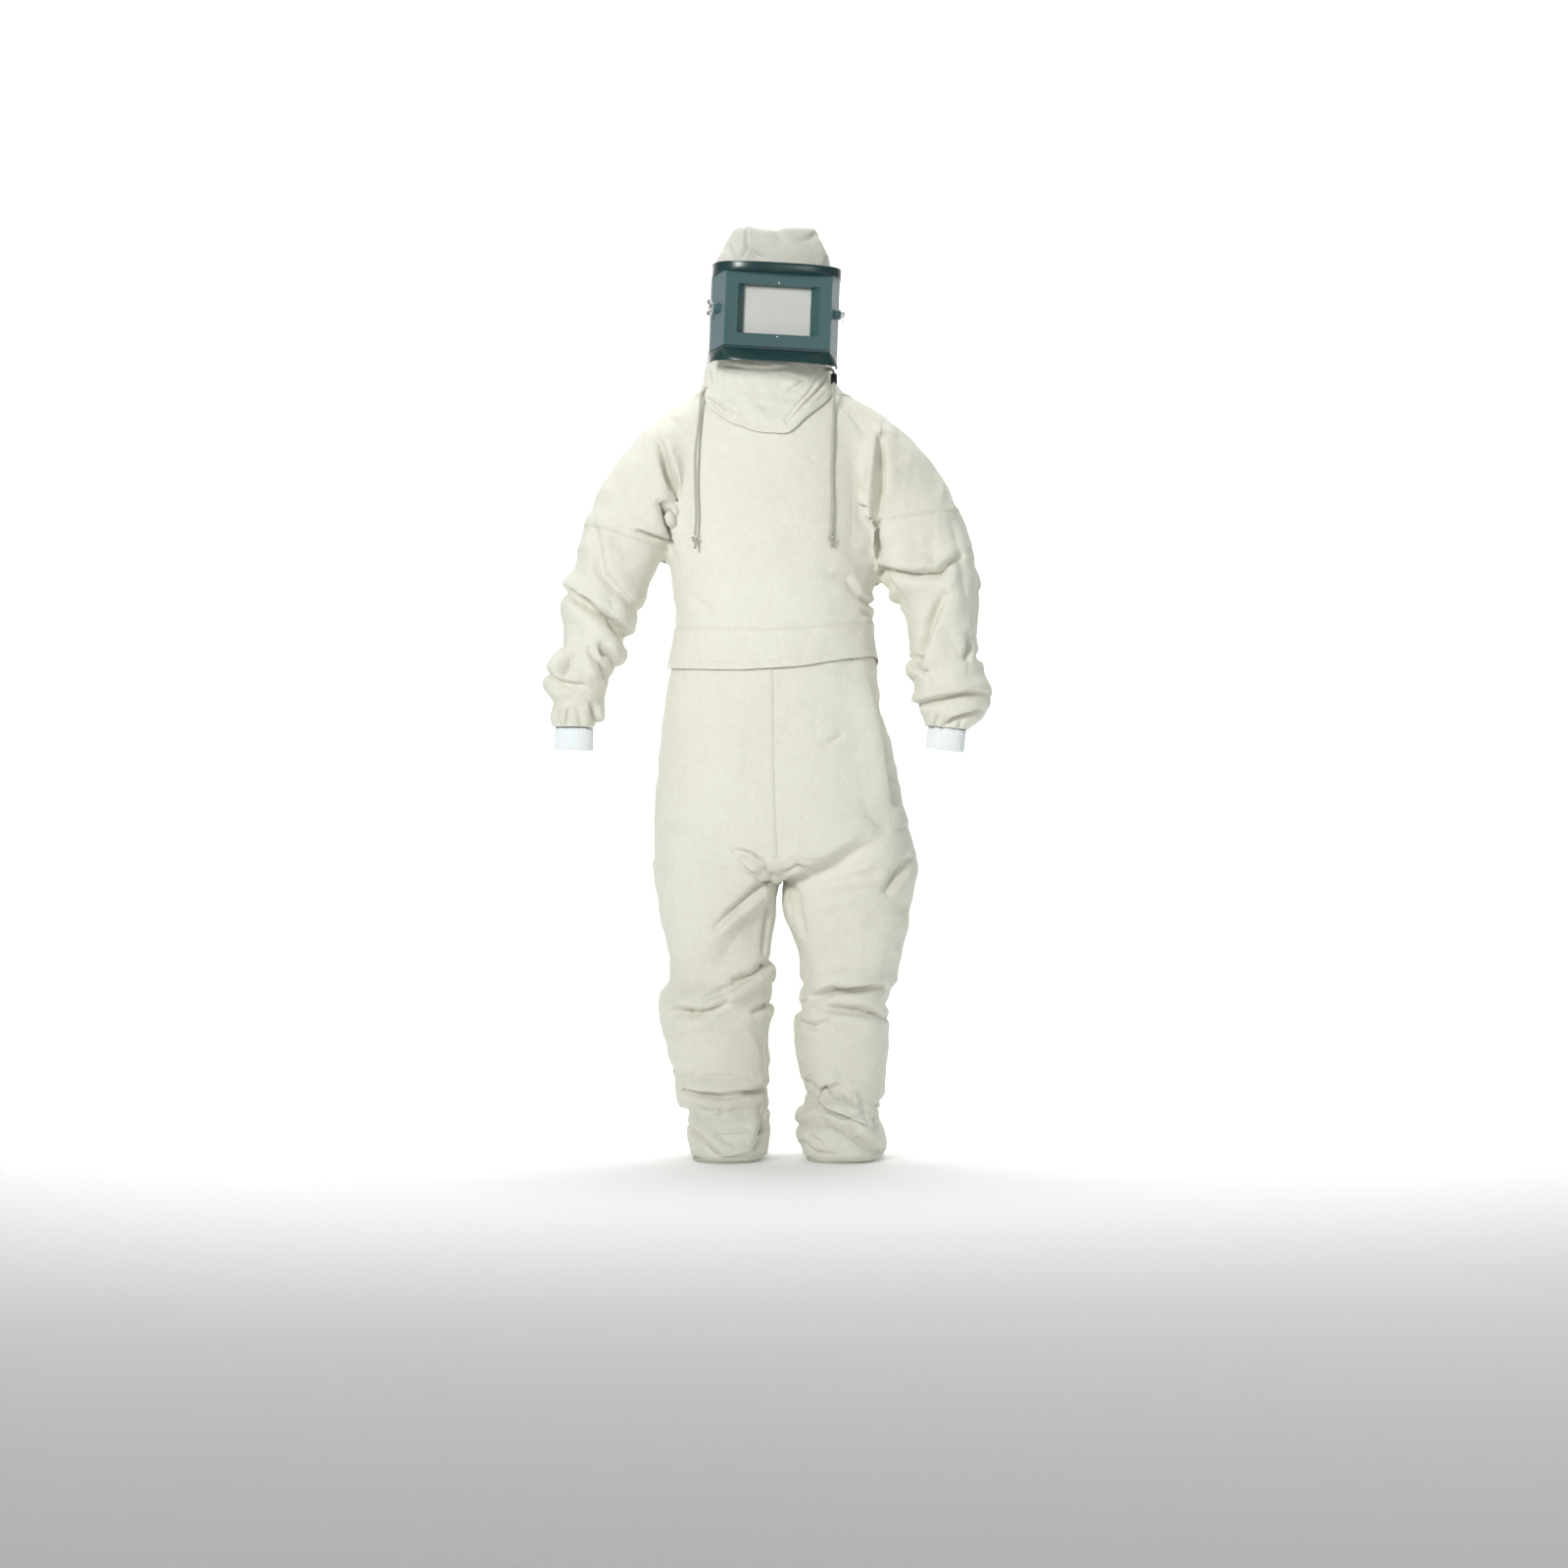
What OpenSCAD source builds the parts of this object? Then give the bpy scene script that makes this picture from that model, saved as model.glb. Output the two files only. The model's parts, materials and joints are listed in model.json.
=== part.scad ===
/* [Garment] */
// Height of the waist seam above the floor
waist_z = 1010; // [990:5:1040]
// Height of the seam between the hood's neck and the bodice
neck_z = 1500; // [1490:1:1510]
// Thickness of the garment's canvas panels, with the air between their layers
cloth_t = 5; // [4:0.5:7]
// Distance of the garment's centre plane behind the frame's origin
body_y = 20; // [10:1:30]

/* [Boots] */
// Thickness of a boot cover's sole
sole_t = 8; // [6:1:12]
// Length of a boot cover from heel to toe
boot_l = 284; // [270:2:300]
// Width of a boot cover at the toes
boot_w = 158; // [150:2:164]

/* [Hood] */
// Turn of the head to its own left, in degrees
head_yaw = 7; // [0:1:8]
// Lean of the head to one side, in degrees
head_roll = 2.2; // [0:0.1:3]
// Height of the visor's pivots above the floor
pivot_z = 1658; // [1650:1:1662]

/* [Visor] */
// Width of the visor's flat front
front_w = 208; // [200:2:212]
// Width of the visor across the rear edges of its side facets
visor_w = 252; // [248:2:254]
// Wall thickness of the moulded visor
visor_t = 3; // [2.5:0.5:3.5]
// Width of the clear part of the window
window_w = 132; // [120:2:140]
// Height of the clear part of the window
window_h = 92; // [80:2:96]
// Height of the visor's upper lip
top_lip_h = 19; // [15:1:22]
// Height of the visor's lower lip
low_lip_h = 34; // [28:1:38]

/* [Hardware] */
// Diameter of the threaded pivot studs
stud_d = 6; // [5:0.5:8]
// Span of a wing nut across its wings
wing_span = 32; // [28:1:36]
// Diameter of the drawstrings
cord_d = 6; // [5:0.5:7]

/* [Hidden] */
$fn = 64;

canvas_colour = [0.86, 0.87, 0.82];
far = 900;
gap = 0.3;
chain_fn = 28;

// A limb's cross-sections from top to bottom: centre x, centre y from the garment's
// centre plane, height, half-width and half-depth.
torso = [
  [8, -4, 1550, 130, 104], [8, -2, 1512, 140, 112], [14, 0, 1450, 190, 128],
  [14, 0, 1360, 216, 142], [10, 0, 1180, 198, 140], [14, 0, 1060, 194, 136],
  [14, 0, 960, 202, 138], [15, 2, 880, 218, 142], [20, 6, 740, 238, 150], [34, 6, 600, 254, 146],
  [24, 6, 566, 70, 104]
];
arm_left = [
  [-110, 4, 1478, 72, 84], [-186, 4, 1412, 92, 104], [-250, 2, 1300, 88, 100],
  [-292, 0, 1180, 88, 92], [-325, -2, 1090, 84, 86], [-343, -6, 1020, 61, 76],
  [-380, -12, 935, 66, 72], [-375, -18, 880, 50, 56], [-378, -22, 848, 42, 42]
];
arm_right = [
  [145, 4, 1478, 76, 84], [220, 4, 1412, 92, 104], [284, 2, 1300, 88, 100],
  [322, 0, 1180, 92, 92], [348, -2, 1090, 74, 86], [352, -6, 1020, 64, 76],
  [372, -12, 930, 70, 72], [368, -16, 885, 72, 64], [360, -22, 850, 46, 46]
];
leg_left = [
  [-103, 6, 600, 117, 144], [-104, 6, 500, 109, 126], [-95, 4, 410, 103, 110],
  [-90, 2, 350, 96, 102], [-98, -2, 310, 108, 108], [-95, 2, 230, 101, 100],
  [-90, 4, 130, 92, 90], [-84, -6, 76, 84, 92]
];
leg_right = [
  [164, 6, 600, 124, 144], [164, 6, 500, 120, 126], [168, 4, 410, 106, 110],
  [159, 2, 350, 89, 100], [157, -2, 310, 80, 102], [150, 2, 255, 90, 100],
  [152, 4, 180, 88, 92], [156, 4, 115, 75, 82], [148, -6, 76, 78, 90]
];

// Foot centres and the boot covers' heel and toe circles
boot_left_x = -76;
boot_right_x = 146;
toe_r = boot_w / 2;
heel_r = 62;
heel_y = body_y + 48;
toe_y = heel_y + heel_r - boot_l + toe_r;
boot_top_z = 76;

// The head's own frame: origin between the pivots, x to the right, y to the rear
pivot_x = 21;
pivot_y = -110;
front_y = -24;
facet_y = 30;
lip_front = 47;
visor_top = 89;
visor_low = -106;

// The hood's sections in the head's frame: height, centre y, half-width, half-depth, corner
hood = [
  [-118, 128, 126, 112, 92], [-70, 134, 117, 122, 76], [20, 136, 116, 126, 62],
  [112, 133, 112, 123, 60], [150, 130, 92, 104, 52], [170, 128, 76, 84, 48]
];
crown_z = 14;
face_w = 184;
face_low = -82;

// Pivot hardware: distances from the middle along the pivots' axis
boss_r = 10;
boss_out = 125;
boss_in = 108;
washer_t = 1.2;
nut_in = boss_out + washer_t + gap;
nut_t = 6.5;
stud_end = nut_in + nut_t + 1.5;
lug_in = 86;
lug_t = 2.5;
stud_head_t = 1.5;

// The headband, in the head's frame
band_z = 34;
band_h = 24;
band_t = 3;
band_y = 142;
band_rx = 84;
band_ry = 96;
knob_r = 17;
knob_pin_r = 4;

// Free routes of the two drawstrings, from the eyelet to the knot
route_left = [
  [-112, -34, 1514], [-118, -42, 1513], [-124, -50, 1510], [-127, -58, 1503],
  [-128, -66, 1490], [-129, -76, 1470], [-131, -86, 1445], [-134, -94, 1420],
  [-138, -99, 1390], [-139, -101, 1360], [-138, -101, 1330], [-138, -101, 1300],
  [-136, -101, 1270], [-137, -101, 1245], [-139, -101, 1222]
];
route_right = [
  [114, -36, 1552], [121, -42, 1554], [128, -47, 1553], [133, -52.3, 1548], [133, -56, 1538],
  [133, -69, 1502], [133, -81, 1469], [132, -91, 1442], [131, -98, 1415],
  [130, -103, 1385], [129, -105, 1350], [130, -105, 1315], [130, -105, 1280],
  [129, -105, 1250], [128, -105, 1222]
];
lock_top = [133, -54.9, 1541];
lock_angle = 20;
lock_l = 18;

// ---------- helpers ----------

module disc(s, inset) {
  translate([s[0], body_y + s[1], s[2]])
    scale([s[3] - inset, s[4] - inset, 1]) cylinder(r = 1, h = 0.2, center = true, $fn = chain_fn);
}

module chain(sections, inset = 0) {
  for (i = [0 : len(sections) - 2])
    hull() {
      disc(sections[i], inset);
      disc(sections[i + 1], inset);
    }
}

module suit_form(inset) {
  chain(torso, inset);
  chain(arm_left, inset);
  chain(arm_right, inset);
  chain(leg_left, inset);
  chain(leg_right, inset);
}

// The hollow inside the suit, stopped short of the shoulder tops and the crotch
module suit_hollow() {
  difference() {
    chain(torso, cloth_t);
    translate([-far, -far, 0]) cube([2 * far, 2 * far, torso[len(torso) - 1][2] + cloth_t]);
  }
  difference() {
    union() {
      chain(arm_left, cloth_t);
      chain(arm_right, cloth_t);
    }
    translate([-far, -far, arm_left[0][2] - cloth_t]) cube(2 * far);
  }
  chain(leg_left, cloth_t);
  chain(leg_right, cloth_t);
}

// The open ends: a short extension of the hollow past each cuff, ankle and the neck
module end_hollows() {
  for (limb = [arm_left, arm_right, leg_left, leg_right])
    translate([0, 0, -4]) disc(limb[len(limb) - 1], cloth_t);
  translate([0, 0, 4]) disc(torso[0], cloth_t);
}

module suit_shell() {
  difference() {
    suit_form(0);
    suit_hollow();
    end_hollows();
  }
}

// A prism along y over an outline of x and z, in front of or behind the side seams
module panel_region(outline, front) {
  translate([0, front ? body_y : body_y + far, 0])
    rotate([90, 0, 0]) linear_extrude(far) polygon(outline);
}

sleeve_left_area = [[-600, 1310], [-200, 1186], [-200, 1010], [-270, 760], [-600, 760]];
sleeve_right_area = [[600, 1325], [222, 1200], [222, 1010], [280, 760], [600, 760]];
bodice_area = [
  [-200, waist_z], [-200, 1186], [-600, 1310], [-600, 1600], [600, 1600], [600, 1325],
  [222, 1200], [222, waist_z]
];
neck_area = [[-170, neck_z], [190, neck_z], [190, 1600], [-170, 1600]];
crotch_x = 22;
leg_left_area = [[-300, 76], [crotch_x, 76], [crotch_x, waist_z], [-250, waist_z]];
leg_right_area = [[crotch_x, 76], [330, 76], [292, 700], [250, waist_z], [crotch_x, waist_z]];

module suit_panel(outline, front) {
  color(canvas_colour)
    intersection() {
      suit_shell();
      panel_region(outline, front);
    }
}

module bodice_panel(front) {
  color(canvas_colour)
    difference() {
      intersection() {
        suit_shell();
        panel_region(bodice_area, front);
      }
      panel_region(neck_area, front);
    }
}

// A plane section of the torso at a given height, grown by a distance
function mix(a, b, t) = a + (b - a) * t;
function section_at(s, z, i = 0) =
  z >= s[i + 1][2] || i == len(s) - 2
    ? let (t = (s[i][2] - z) / (s[i][2] - s[i + 1][2]))
      [for (k = [0 : 4]) k == 2 ? z : mix(s[i][k], s[i + 1][k], t)]
    : section_at(s, z, i + 1);

// A closed band round the torso between two heights
module torso_band(z_low, z_high, inner, outer) {
  difference() {
    hull() {
      disc(section_at(torso, z_low), -outer);
      disc(section_at(torso, z_high), -outer);
    }
    hull() {
      translate([0, 0, -1]) disc(section_at(torso, z_low), -inner);
      translate([0, 0, 1]) disc(section_at(torso, z_high), -inner);
    }
  }
}

module in_head() {
  translate([pivot_x, pivot_y, pivot_z]) rotate([0, head_roll, head_yaw]) children();
}

// ---------- garment ----------

module bodice_front() bodice_panel(true);

module bodice_back() bodice_panel(false);

module sleeve_left_front() suit_panel(sleeve_left_area, true);

module sleeve_left_back() suit_panel(sleeve_left_area, false);

module sleeve_right_front() suit_panel(sleeve_right_area, true);

module sleeve_right_back() suit_panel(sleeve_right_area, false);

// A knit cuff: an open elliptical tube that starts inside the sleeve's end
module cuff(x, tilt) {
  color([0.93, 0.97, 0.98])
    translate([x, body_y - 22, 846]) rotate([0, tilt, 0])
      difference() {
        translate([0, 0, -40]) scale([1, 0.86, 1]) cylinder(r = 38, h = 40, $fn = 48);
        translate([0, 0, -41]) scale([1, 0.84, 1]) cylinder(r = 33, h = 42, $fn = 48);
      }
}

module cuff_left() cuff(-380, 2);

module cuff_right() cuff(358, 8);

flap_low = 966;
flap_high = 1050;

module waist_flap() {
  color([0.84, 0.85, 0.80]) torso_band(flap_low, flap_high, 4, 8);
}

strip_angle = 60;

// A fastening strip on the front of the waist, between the flap and the panels
module strip(inner, outer) {
  intersection() {
    torso_band(flap_low + 14, flap_low + 34, inner, outer);
    translate([14, body_y, flap_low]) rotate([0, 0, -90 - strip_angle])
      rotate_extrude(angle = 2 * strip_angle) square([300, 60]);
  }
}

module loop_strip() {
  color([0.80, 0.81, 0.76]) strip(0.7, 2);
}

module hook_strip() {
  color([0.74, 0.75, 0.70]) strip(2.5, 3.7);
}

module trouser_left_front() suit_panel(leg_left_area, true);

module trouser_left_back() suit_panel(leg_left_area, false);

module trouser_right_front() suit_panel(leg_right_area, true);

module trouser_right_back() suit_panel(leg_right_area, false);

fly_low = 760;

// The facing behind the fly, inside the front seam
module fly_facing() {
  color(canvas_colour)
    intersection() {
      difference() {
        chain(torso, cloth_t + 0.3);
        chain(torso, cloth_t + 2.3);
      }
      panel_region([[2, fly_low], [42, fly_low], [42, flap_low], [2, flap_low]], true);
    }
}

// ---------- boot covers ----------

module boot_outline(grow) {
  hull() {
    translate([0, toe_y]) circle(r = toe_r + grow, $fn = 40);
    translate([0, heel_y]) circle(r = heel_r + grow, $fn = 40);
  }
}

module boot_slice(z, grow) {
  translate([0, 0, z]) linear_extrude(0.1) boot_outline(grow);
}

// The outer form of a boot cover, from the sole up over the toes to the ankle
module boot_form(x, ankle, inset) {
  hull() {
    translate([x, 0, 0]) boot_slice(sole_t, -inset);
    translate([x, 0, 0]) boot_slice(34, -inset);
  }
  hull() {
    translate([x, 0, 0]) boot_slice(34, -inset);
    translate([x, 0, 0]) boot_slice(52, -8 - inset);
  }
  hull() {
    translate([x, 0, 0]) boot_slice(52, -8 - inset);
    disc(ankle, inset);
  }
}

module boot_cover(x, ankle) {
  color([0.83, 0.84, 0.78])
    difference() {
      boot_form(x, ankle, 0);
      difference() {
        boot_form(x, ankle, cloth_t);
        translate([x - 100, -300, 0]) cube([200, 600, sole_t + 0.05]);
      }
      translate([0, 0, 0.2]) disc(ankle, cloth_t);
      translate([x, 0, sole_t - 1]) linear_extrude(3) boot_outline(-cloth_t);
      translate([-far, -far, boot_top_z]) cube(2 * far);
    }
}

module boot_cover_left() boot_cover(boot_left_x, leg_left[len(leg_left) - 1]);

module boot_cover_right() boot_cover(boot_right_x, leg_right[len(leg_right) - 1]);

module boot_sole(x) {
  color([0.72, 0.73, 0.68])
    translate([x, 0, 0]) linear_extrude(sole_t)
      hull() {
        translate([0, toe_y]) circle(r = toe_r, $fn = 40);
        translate([0, heel_y]) circle(r = heel_r, $fn = 40);
      }
}

module boot_sole_left() boot_sole(boot_left_x);

module boot_sole_right() boot_sole(boot_right_x);

// ---------- hood ----------

module hood_slice(s, inset) {
  r = s[4] - inset;
  translate([0, s[1], s[0]])
    linear_extrude(0.2, center = true)
      hull()
        for (x = [-1, 1], y = [-1, 1])
          translate([x * (s[2] - s[4]), y * (s[3] - s[4])]) circle(r = r, $fn = chain_fn);
}

module hood_form(inset) {
  for (i = [0 : len(hood) - 2])
    hull() {
      hood_slice(hood[i], inset);
      hood_slice(hood[i + 1], inset);
    }
}

module hood_shell() {
  difference() {
    hood_form(0);
    difference() {
      hood_form(cloth_t);
      translate([-300, -300, hood[len(hood) - 1][0] - cloth_t]) cube(600);
    }
    translate([0, 0, -0.3]) hood_slice(hood[0], cloth_t);
    translate([-face_w / 2, -60, face_low]) cube([face_w, 150, 150]);
  }
}

side_y = 170;

module hood_crown() {
  color(canvas_colour)
    in_head() intersection() {
      hood_shell();
      translate([-200, -100, crown_z]) cube([400, 500, 300]);
    }
}

module hood_side(x0) {
  color(canvas_colour)
    in_head() intersection() {
      hood_shell();
      translate([x0, -100, hood[0][0] - 1]) cube([200, 100 + side_y, crown_z - hood[0][0] + 1]);
    }
}

module hood_side_left() hood_side(-200);

module hood_side_right() hood_side(0);

module hood_back() {
  color(canvas_colour)
    in_head() intersection() {
      hood_shell();
      translate([-200, side_y, hood[0][0] - 1]) cube([400, 200, crown_z - hood[0][0] + 1]);
    }
}

// The neck: a flared band between the bodice and the bottom of the hood
module neck_half(front) {
  color(canvas_colour)
    difference() {
      intersection() {
        suit_shell();
        panel_region(neck_area, front);
      }
      in_head() hood_form(-0.3);
      in_head() translate([0, 0, -2]) hood_slice(hood[0], -0.3);
    }
}

module neck_front() neck_half(true);

module neck_back() neck_half(false);

bib_area = [
  [-96, 1530], [108, 1530], [112, 1500], [84, 1462], [44, 1434], [-10, 1430],
  [-52, 1440], [-92, 1474], [-106, 1500]
];

// A cloth bib over the throat, in front of the neck and the top of the bodice
module bib() {
  color(canvas_colour)
    intersection() {
      difference() {
        chain(torso, -6);
        chain(torso, -2.5);
      }
      panel_region(bib_area, true);
    }
}

// ---------- headgear ----------

module band_ring(grow, h) {
  linear_extrude(h, center = true)
    difference() {
      scale([band_rx + grow, band_ry + grow]) circle(r = 1, $fn = 64);
      scale([band_rx + grow - band_t, band_ry + grow - band_t]) circle(r = 1, $fn = 64);
    }
}

// The headband, with a lug on each side that carries a pivot stud
module headband() {
  color([0.12, 0.12, 0.13])
    in_head() {
      difference() {
        union() {
          translate([0, band_y, band_z]) band_ring(0, band_h);
          for (side = [-1, 1])
            hull() {
              translate([side * (lug_in - lug_t / 2), 0, 0]) rotate([0, 90, 0])
                cylinder(r = 9, h = lug_t, center = true, $fn = 32);
              translate([side * (band_rx - 1.5), band_y - 20, band_z]) cube([2, 16, 16], center = true);
            }
          translate([0, band_y + band_ry - 1, band_z]) rotate([-90, 0, 0]) cylinder(r = knob_pin_r, h = 9);
        }
        rotate([0, 90, 0]) cylinder(d = stud_d, h = 300, center = true);
        translate([0, band_y, band_z]) scale([band_rx - band_t, band_ry - band_t, 1])
          cylinder(r = 1, h = 60, center = true, $fn = 64);
      }
    }
}

strap_top = 132;

module crown_strap() {
  color([0.16, 0.16, 0.17])
    in_head() translate([0, band_y, band_z]) rotate([90, 0, 0])
      linear_extrude(22, center = true)
        intersection() {
          difference() {
            scale([band_rx - band_t - 0.4, strap_top - band_z]) circle(r = 1, $fn = 48);
            scale([band_rx - band_t - 2.4, strap_top - band_z - 2]) circle(r = 1, $fn = 48);
          }
          translate([-100, 0]) square([200, 150]);
        }
}

// The padded band across the forehead, inside the headband
module sweatband() {
  color([0.32, 0.30, 0.28])
    in_head() translate([0, band_y, band_z])
      linear_extrude(band_h + 6, center = true)
        intersection() {
          difference() {
            scale([band_rx - band_t - 0.4, band_ry - band_t - 0.4]) circle(r = 1, $fn = 64);
            scale([band_rx - band_t - 6, band_ry - band_t - 6]) circle(r = 1, $fn = 64);
          }
          translate([-55, -100]) square([110, 60]);
        }
}

// The ratchet knob that tightens the headband at the back of the head
module band_knob() {
  color([0.2, 0.2, 0.22])
    in_head() translate([0, band_y + band_ry + gap, band_z]) rotate([-90, 0, 0])
      difference() {
        cylinder(r = knob_r, h = 9);
        for (a = [0 : 30 : 359])
          rotate([0, 0, a]) translate([knob_r + 1.5, 0, -1]) cylinder(r = 3, h = 12);
        translate([0, 0, -1]) cylinder(r = knob_pin_r + 0.05, h = 12);
      }
}

module pivot_stud(side) {
  color("silver")
    in_head() scale([side, 1, 1]) rotate([0, 90, 0]) {
      translate([0, 0, lug_in - lug_t - stud_head_t]) cylinder(r = 4.8, h = stud_head_t);
      translate([0, 0, lug_in - lug_t]) cylinder(d = stud_d, h = stud_end - lug_in + lug_t);
    }
}

module pivot_stud_left() pivot_stud(-1);

module pivot_stud_right() pivot_stud(1);

// ---------- visor ----------

visor_plan = [
  [-visor_w / 2, facet_y], [-front_w / 2, front_y], [front_w / 2, front_y], [visor_w / 2, facet_y]
];
visor_plan_inner = [
  [-visor_w / 2 + visor_t, facet_y + 1], [-front_w / 2 + visor_t, front_y + visor_t],
  [front_w / 2 - visor_t, front_y + visor_t], [visor_w / 2 - visor_t, facet_y + 1]
];

// A rounded lip outline: a superellipse in front of the facets' rear edges
function lip_point(a, depth, power) = [
  -visor_w / 2 * sign(cos(a)) * pow(abs(cos(a)), 2 / power),
  facet_y - depth * pow(abs(sin(a)), 2 / power)
];

module lip(z, h, depth) {
  translate([0, 0, z]) linear_extrude(h)
    difference() {
      polygon([for (a = [0 : 5 : 180]) lip_point(a, depth, 2.8)]);
      polygon(visor_plan_inner);
    }
}

recess_w = window_w + 28;
recess_h = window_h + 4;
recess_d = 16;

module visor_shell() {
  color([0.26, 0.38, 0.40])
    in_head() difference() {
      union() {
        translate([0, 0, visor_low]) linear_extrude(visor_top - visor_low)
          difference() {
            polygon(visor_plan);
            polygon(visor_plan_inner);
          }
        lip(visor_top - top_lip_h, top_lip_h, facet_y + lip_front);
        lip(visor_low, low_lip_h, facet_y + lip_front + 3);
        translate([-recess_w / 2 - 3, front_y, -recess_h / 2 - 3])
          cube([recess_w + 6, recess_d + 3, recess_h + 6]);
        for (side = [-1, 1])
          scale([side, 1, 1]) translate([boss_in, 0, 0]) rotate([0, 90, 0])
            cylinder(r = boss_r, h = boss_out - boss_in);
      }
      translate([-recess_w / 2, front_y - 1, -recess_h / 2]) cube([recess_w, recess_d + 1, recess_h]);
      translate([-window_w / 2, front_y, -window_h / 2]) cube([window_w, 60, window_h]);
      rotate([0, 90, 0]) cylinder(r = stud_d / 2 + 0.05, h = 300, center = true);
    }
}

glass_y = front_y + recess_d + 3;
gasket_t = 2;
glass_t = 4;

module window_gasket() {
  color([0.08, 0.08, 0.08])
    in_head() translate([0, glass_y, 0]) rotate([-90, 0, 0]) linear_extrude(gasket_t)
      difference() {
        square([window_w + 16, window_h + 8], center = true);
        square([window_w, window_h], center = true);
      }
}

module window_glass() {
  color([0.80, 0.82, 0.78, 0.6])
    in_head() translate([-window_w / 2 - 8, glass_y + gasket_t, -window_h / 2 - 4])
      cube([window_w + 16, glass_t, window_h + 8]);
}

frame_y = glass_y + gasket_t + glass_t;
frame_t = 2;
screw_z = window_h / 2 + 8;
screw_x = window_w / 2 + 3;

module window_frame() {
  color([0.2, 0.3, 0.32])
    in_head() translate([0, frame_y, 0]) difference() {
      translate([-window_w / 2 - 14, 0, -screw_z - 7]) cube([window_w + 28, frame_t, 2 * screw_z + 14]);
      translate([-window_w / 2, -1, -window_h / 2]) cube([window_w, frame_t + 2, window_h]);
      for (x = [-1, 1], z = [-1, 1])
        translate([x * screw_x, -1, z * screw_z]) rotate([-90, 0, 0]) cylinder(r = 1.6, h = frame_t + 2);
    }
}

// Four posts with screws hold the frame and the glass to the back of the recess
module frame_screws() {
  color("silver")
    in_head() for (x = [-1, 1], z = [-1, 1])
      translate([x * screw_x, 0, z * screw_z]) rotate([-90, 0, 0]) {
        translate([0, 0, front_y + visor_t]) cylinder(r = 1.6, h = frame_y + frame_t - front_y - visor_t);
        translate([0, 0, frame_y + frame_t]) cylinder(r = 3, h = 2);
      }
}

module washers() {
  color("silver")
    in_head() for (side = [-1, 1])
      scale([side, 1, 1]) translate([boss_out, 0, 0]) rotate([0, 90, 0])
        difference() {
          cylinder(r = 9, h = washer_t);
          translate([0, 0, -1]) cylinder(r = stud_d / 2 + 0.05, h = washer_t + 2);
        }
}

module wing_nut(side) {
  color("gainsboro")
    in_head() scale([side, 1, 1]) translate([nut_in, 0, 0]) rotate([0, 90, 0])
      difference() {
        union() {
          cylinder(r = 6.5, h = nut_t);
          for (s = [-1, 1])
            hull() {
              translate([s * 5, 0, 3]) cube([2, 3, 5], center = true);
              translate([s * (wing_span / 2 - 5), 0, nut_t]) rotate([90, 0, 0])
                cylinder(r = 5, h = 2.4, center = true, $fn = 32);
            }
        }
        translate([0, 0, -1]) cylinder(r = stud_d / 2 + 0.05, h = nut_t + 10);
      }
}

module wing_nut_left() wing_nut(-1);

module wing_nut_right() wing_nut(1);

// ---------- drawstrings ----------

// A ring eyelet round the start of a cord's route, facing along its first stretch
module eyelet(route) {
  d = route[1] - route[0];
  color([0.70, 0.70, 0.68])
    translate(route[1]) rotate([0, acos(d[2] / norm(d)), atan2(d[1], d[0])])
      rotate_extrude() translate([cord_d / 2 + 2.05, 0]) circle(r = 1.6, $fn = 24);
}

module eyelet_left() eyelet(route_left);

module eyelet_right() eyelet(route_right);

// Unit tangents, and rings of points square to them
function unit(v) = v / norm(v);
function tangent(p, i) = unit(p[min(i + 1, len(p) - 1)] - p[max(i - 1, 0)]);
function ring(p, i, r, n) =
  let (t = tangent(p, i), u = unit(cross(t, [1, 0, 0])), v = cross(t, u))
  [for (k = [0 : n - 1]) p[i] + r * (cos(360 * k / n) * u + sin(360 * k / n) * v)];

// One step of corner cutting halfway along each stretch keeps the route smooth
function smooth(p) = [
  p[0],
  for (i = [0 : len(p) - 2]) (p[i] + p[i + 1]) / 2,
  p[len(p) - 1]
];

module cord(route) {
  p = smooth(route);
  n = 8;
  m = len(p);
  points = [for (i = [0 : m - 1]) each ring(p, i, cord_d / 2, n)];
  sides = [
    for (i = [0 : m - 2], k = [0 : n - 1])
      [i * n + k, i * n + (k + 1) % n, (i + 1) * n + (k + 1) % n, (i + 1) * n + k]
  ];
  color([0.74, 0.75, 0.68])
    polyhedron(
      points,
      concat([[for (k = [n - 1 : -1 : 0]) k]], sides, [[for (k = [0 : n - 1]) (m - 1) * n + k]]),
      convexity = 6
    );
}

module drawstring_left() cord(route_left);

module drawstring_right() cord(route_right);

// A knot at a cord's end, with its short frayed tail
module knot(end, tail) {
  color([0.74, 0.75, 0.68])
    translate(end) {
      rotate_extrude() intersection() {
        translate([0, -7]) scale([7, 8]) circle(r = 1, $fn = 32);
        translate([0, -16]) square([10, 16]);
      }
      translate([0, 0, -14 - tail]) cylinder(r1 = 4.5, r2 = cord_d / 2, h = tail + 1.5);
    }
}

module knot_left() knot(route_left[len(route_left) - 1], 12);

module knot_right() knot(route_right[len(route_right) - 1], 8);

// A spring cord lock that slides on the straight upper stretch of the right drawstring
module cord_lock() {
  color([0.05, 0.05, 0.05])
    translate(lock_top) rotate([-lock_angle, 0, 0])
      difference() {
        translate([0, 0, -lock_l / 2]) cylinder(r = 6.5, h = lock_l, center = true);
        translate([0, 0, -lock_l]) cylinder(r = cord_d / 2 + 0.1, h = 3 * lock_l, center = true);
      }
}

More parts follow.
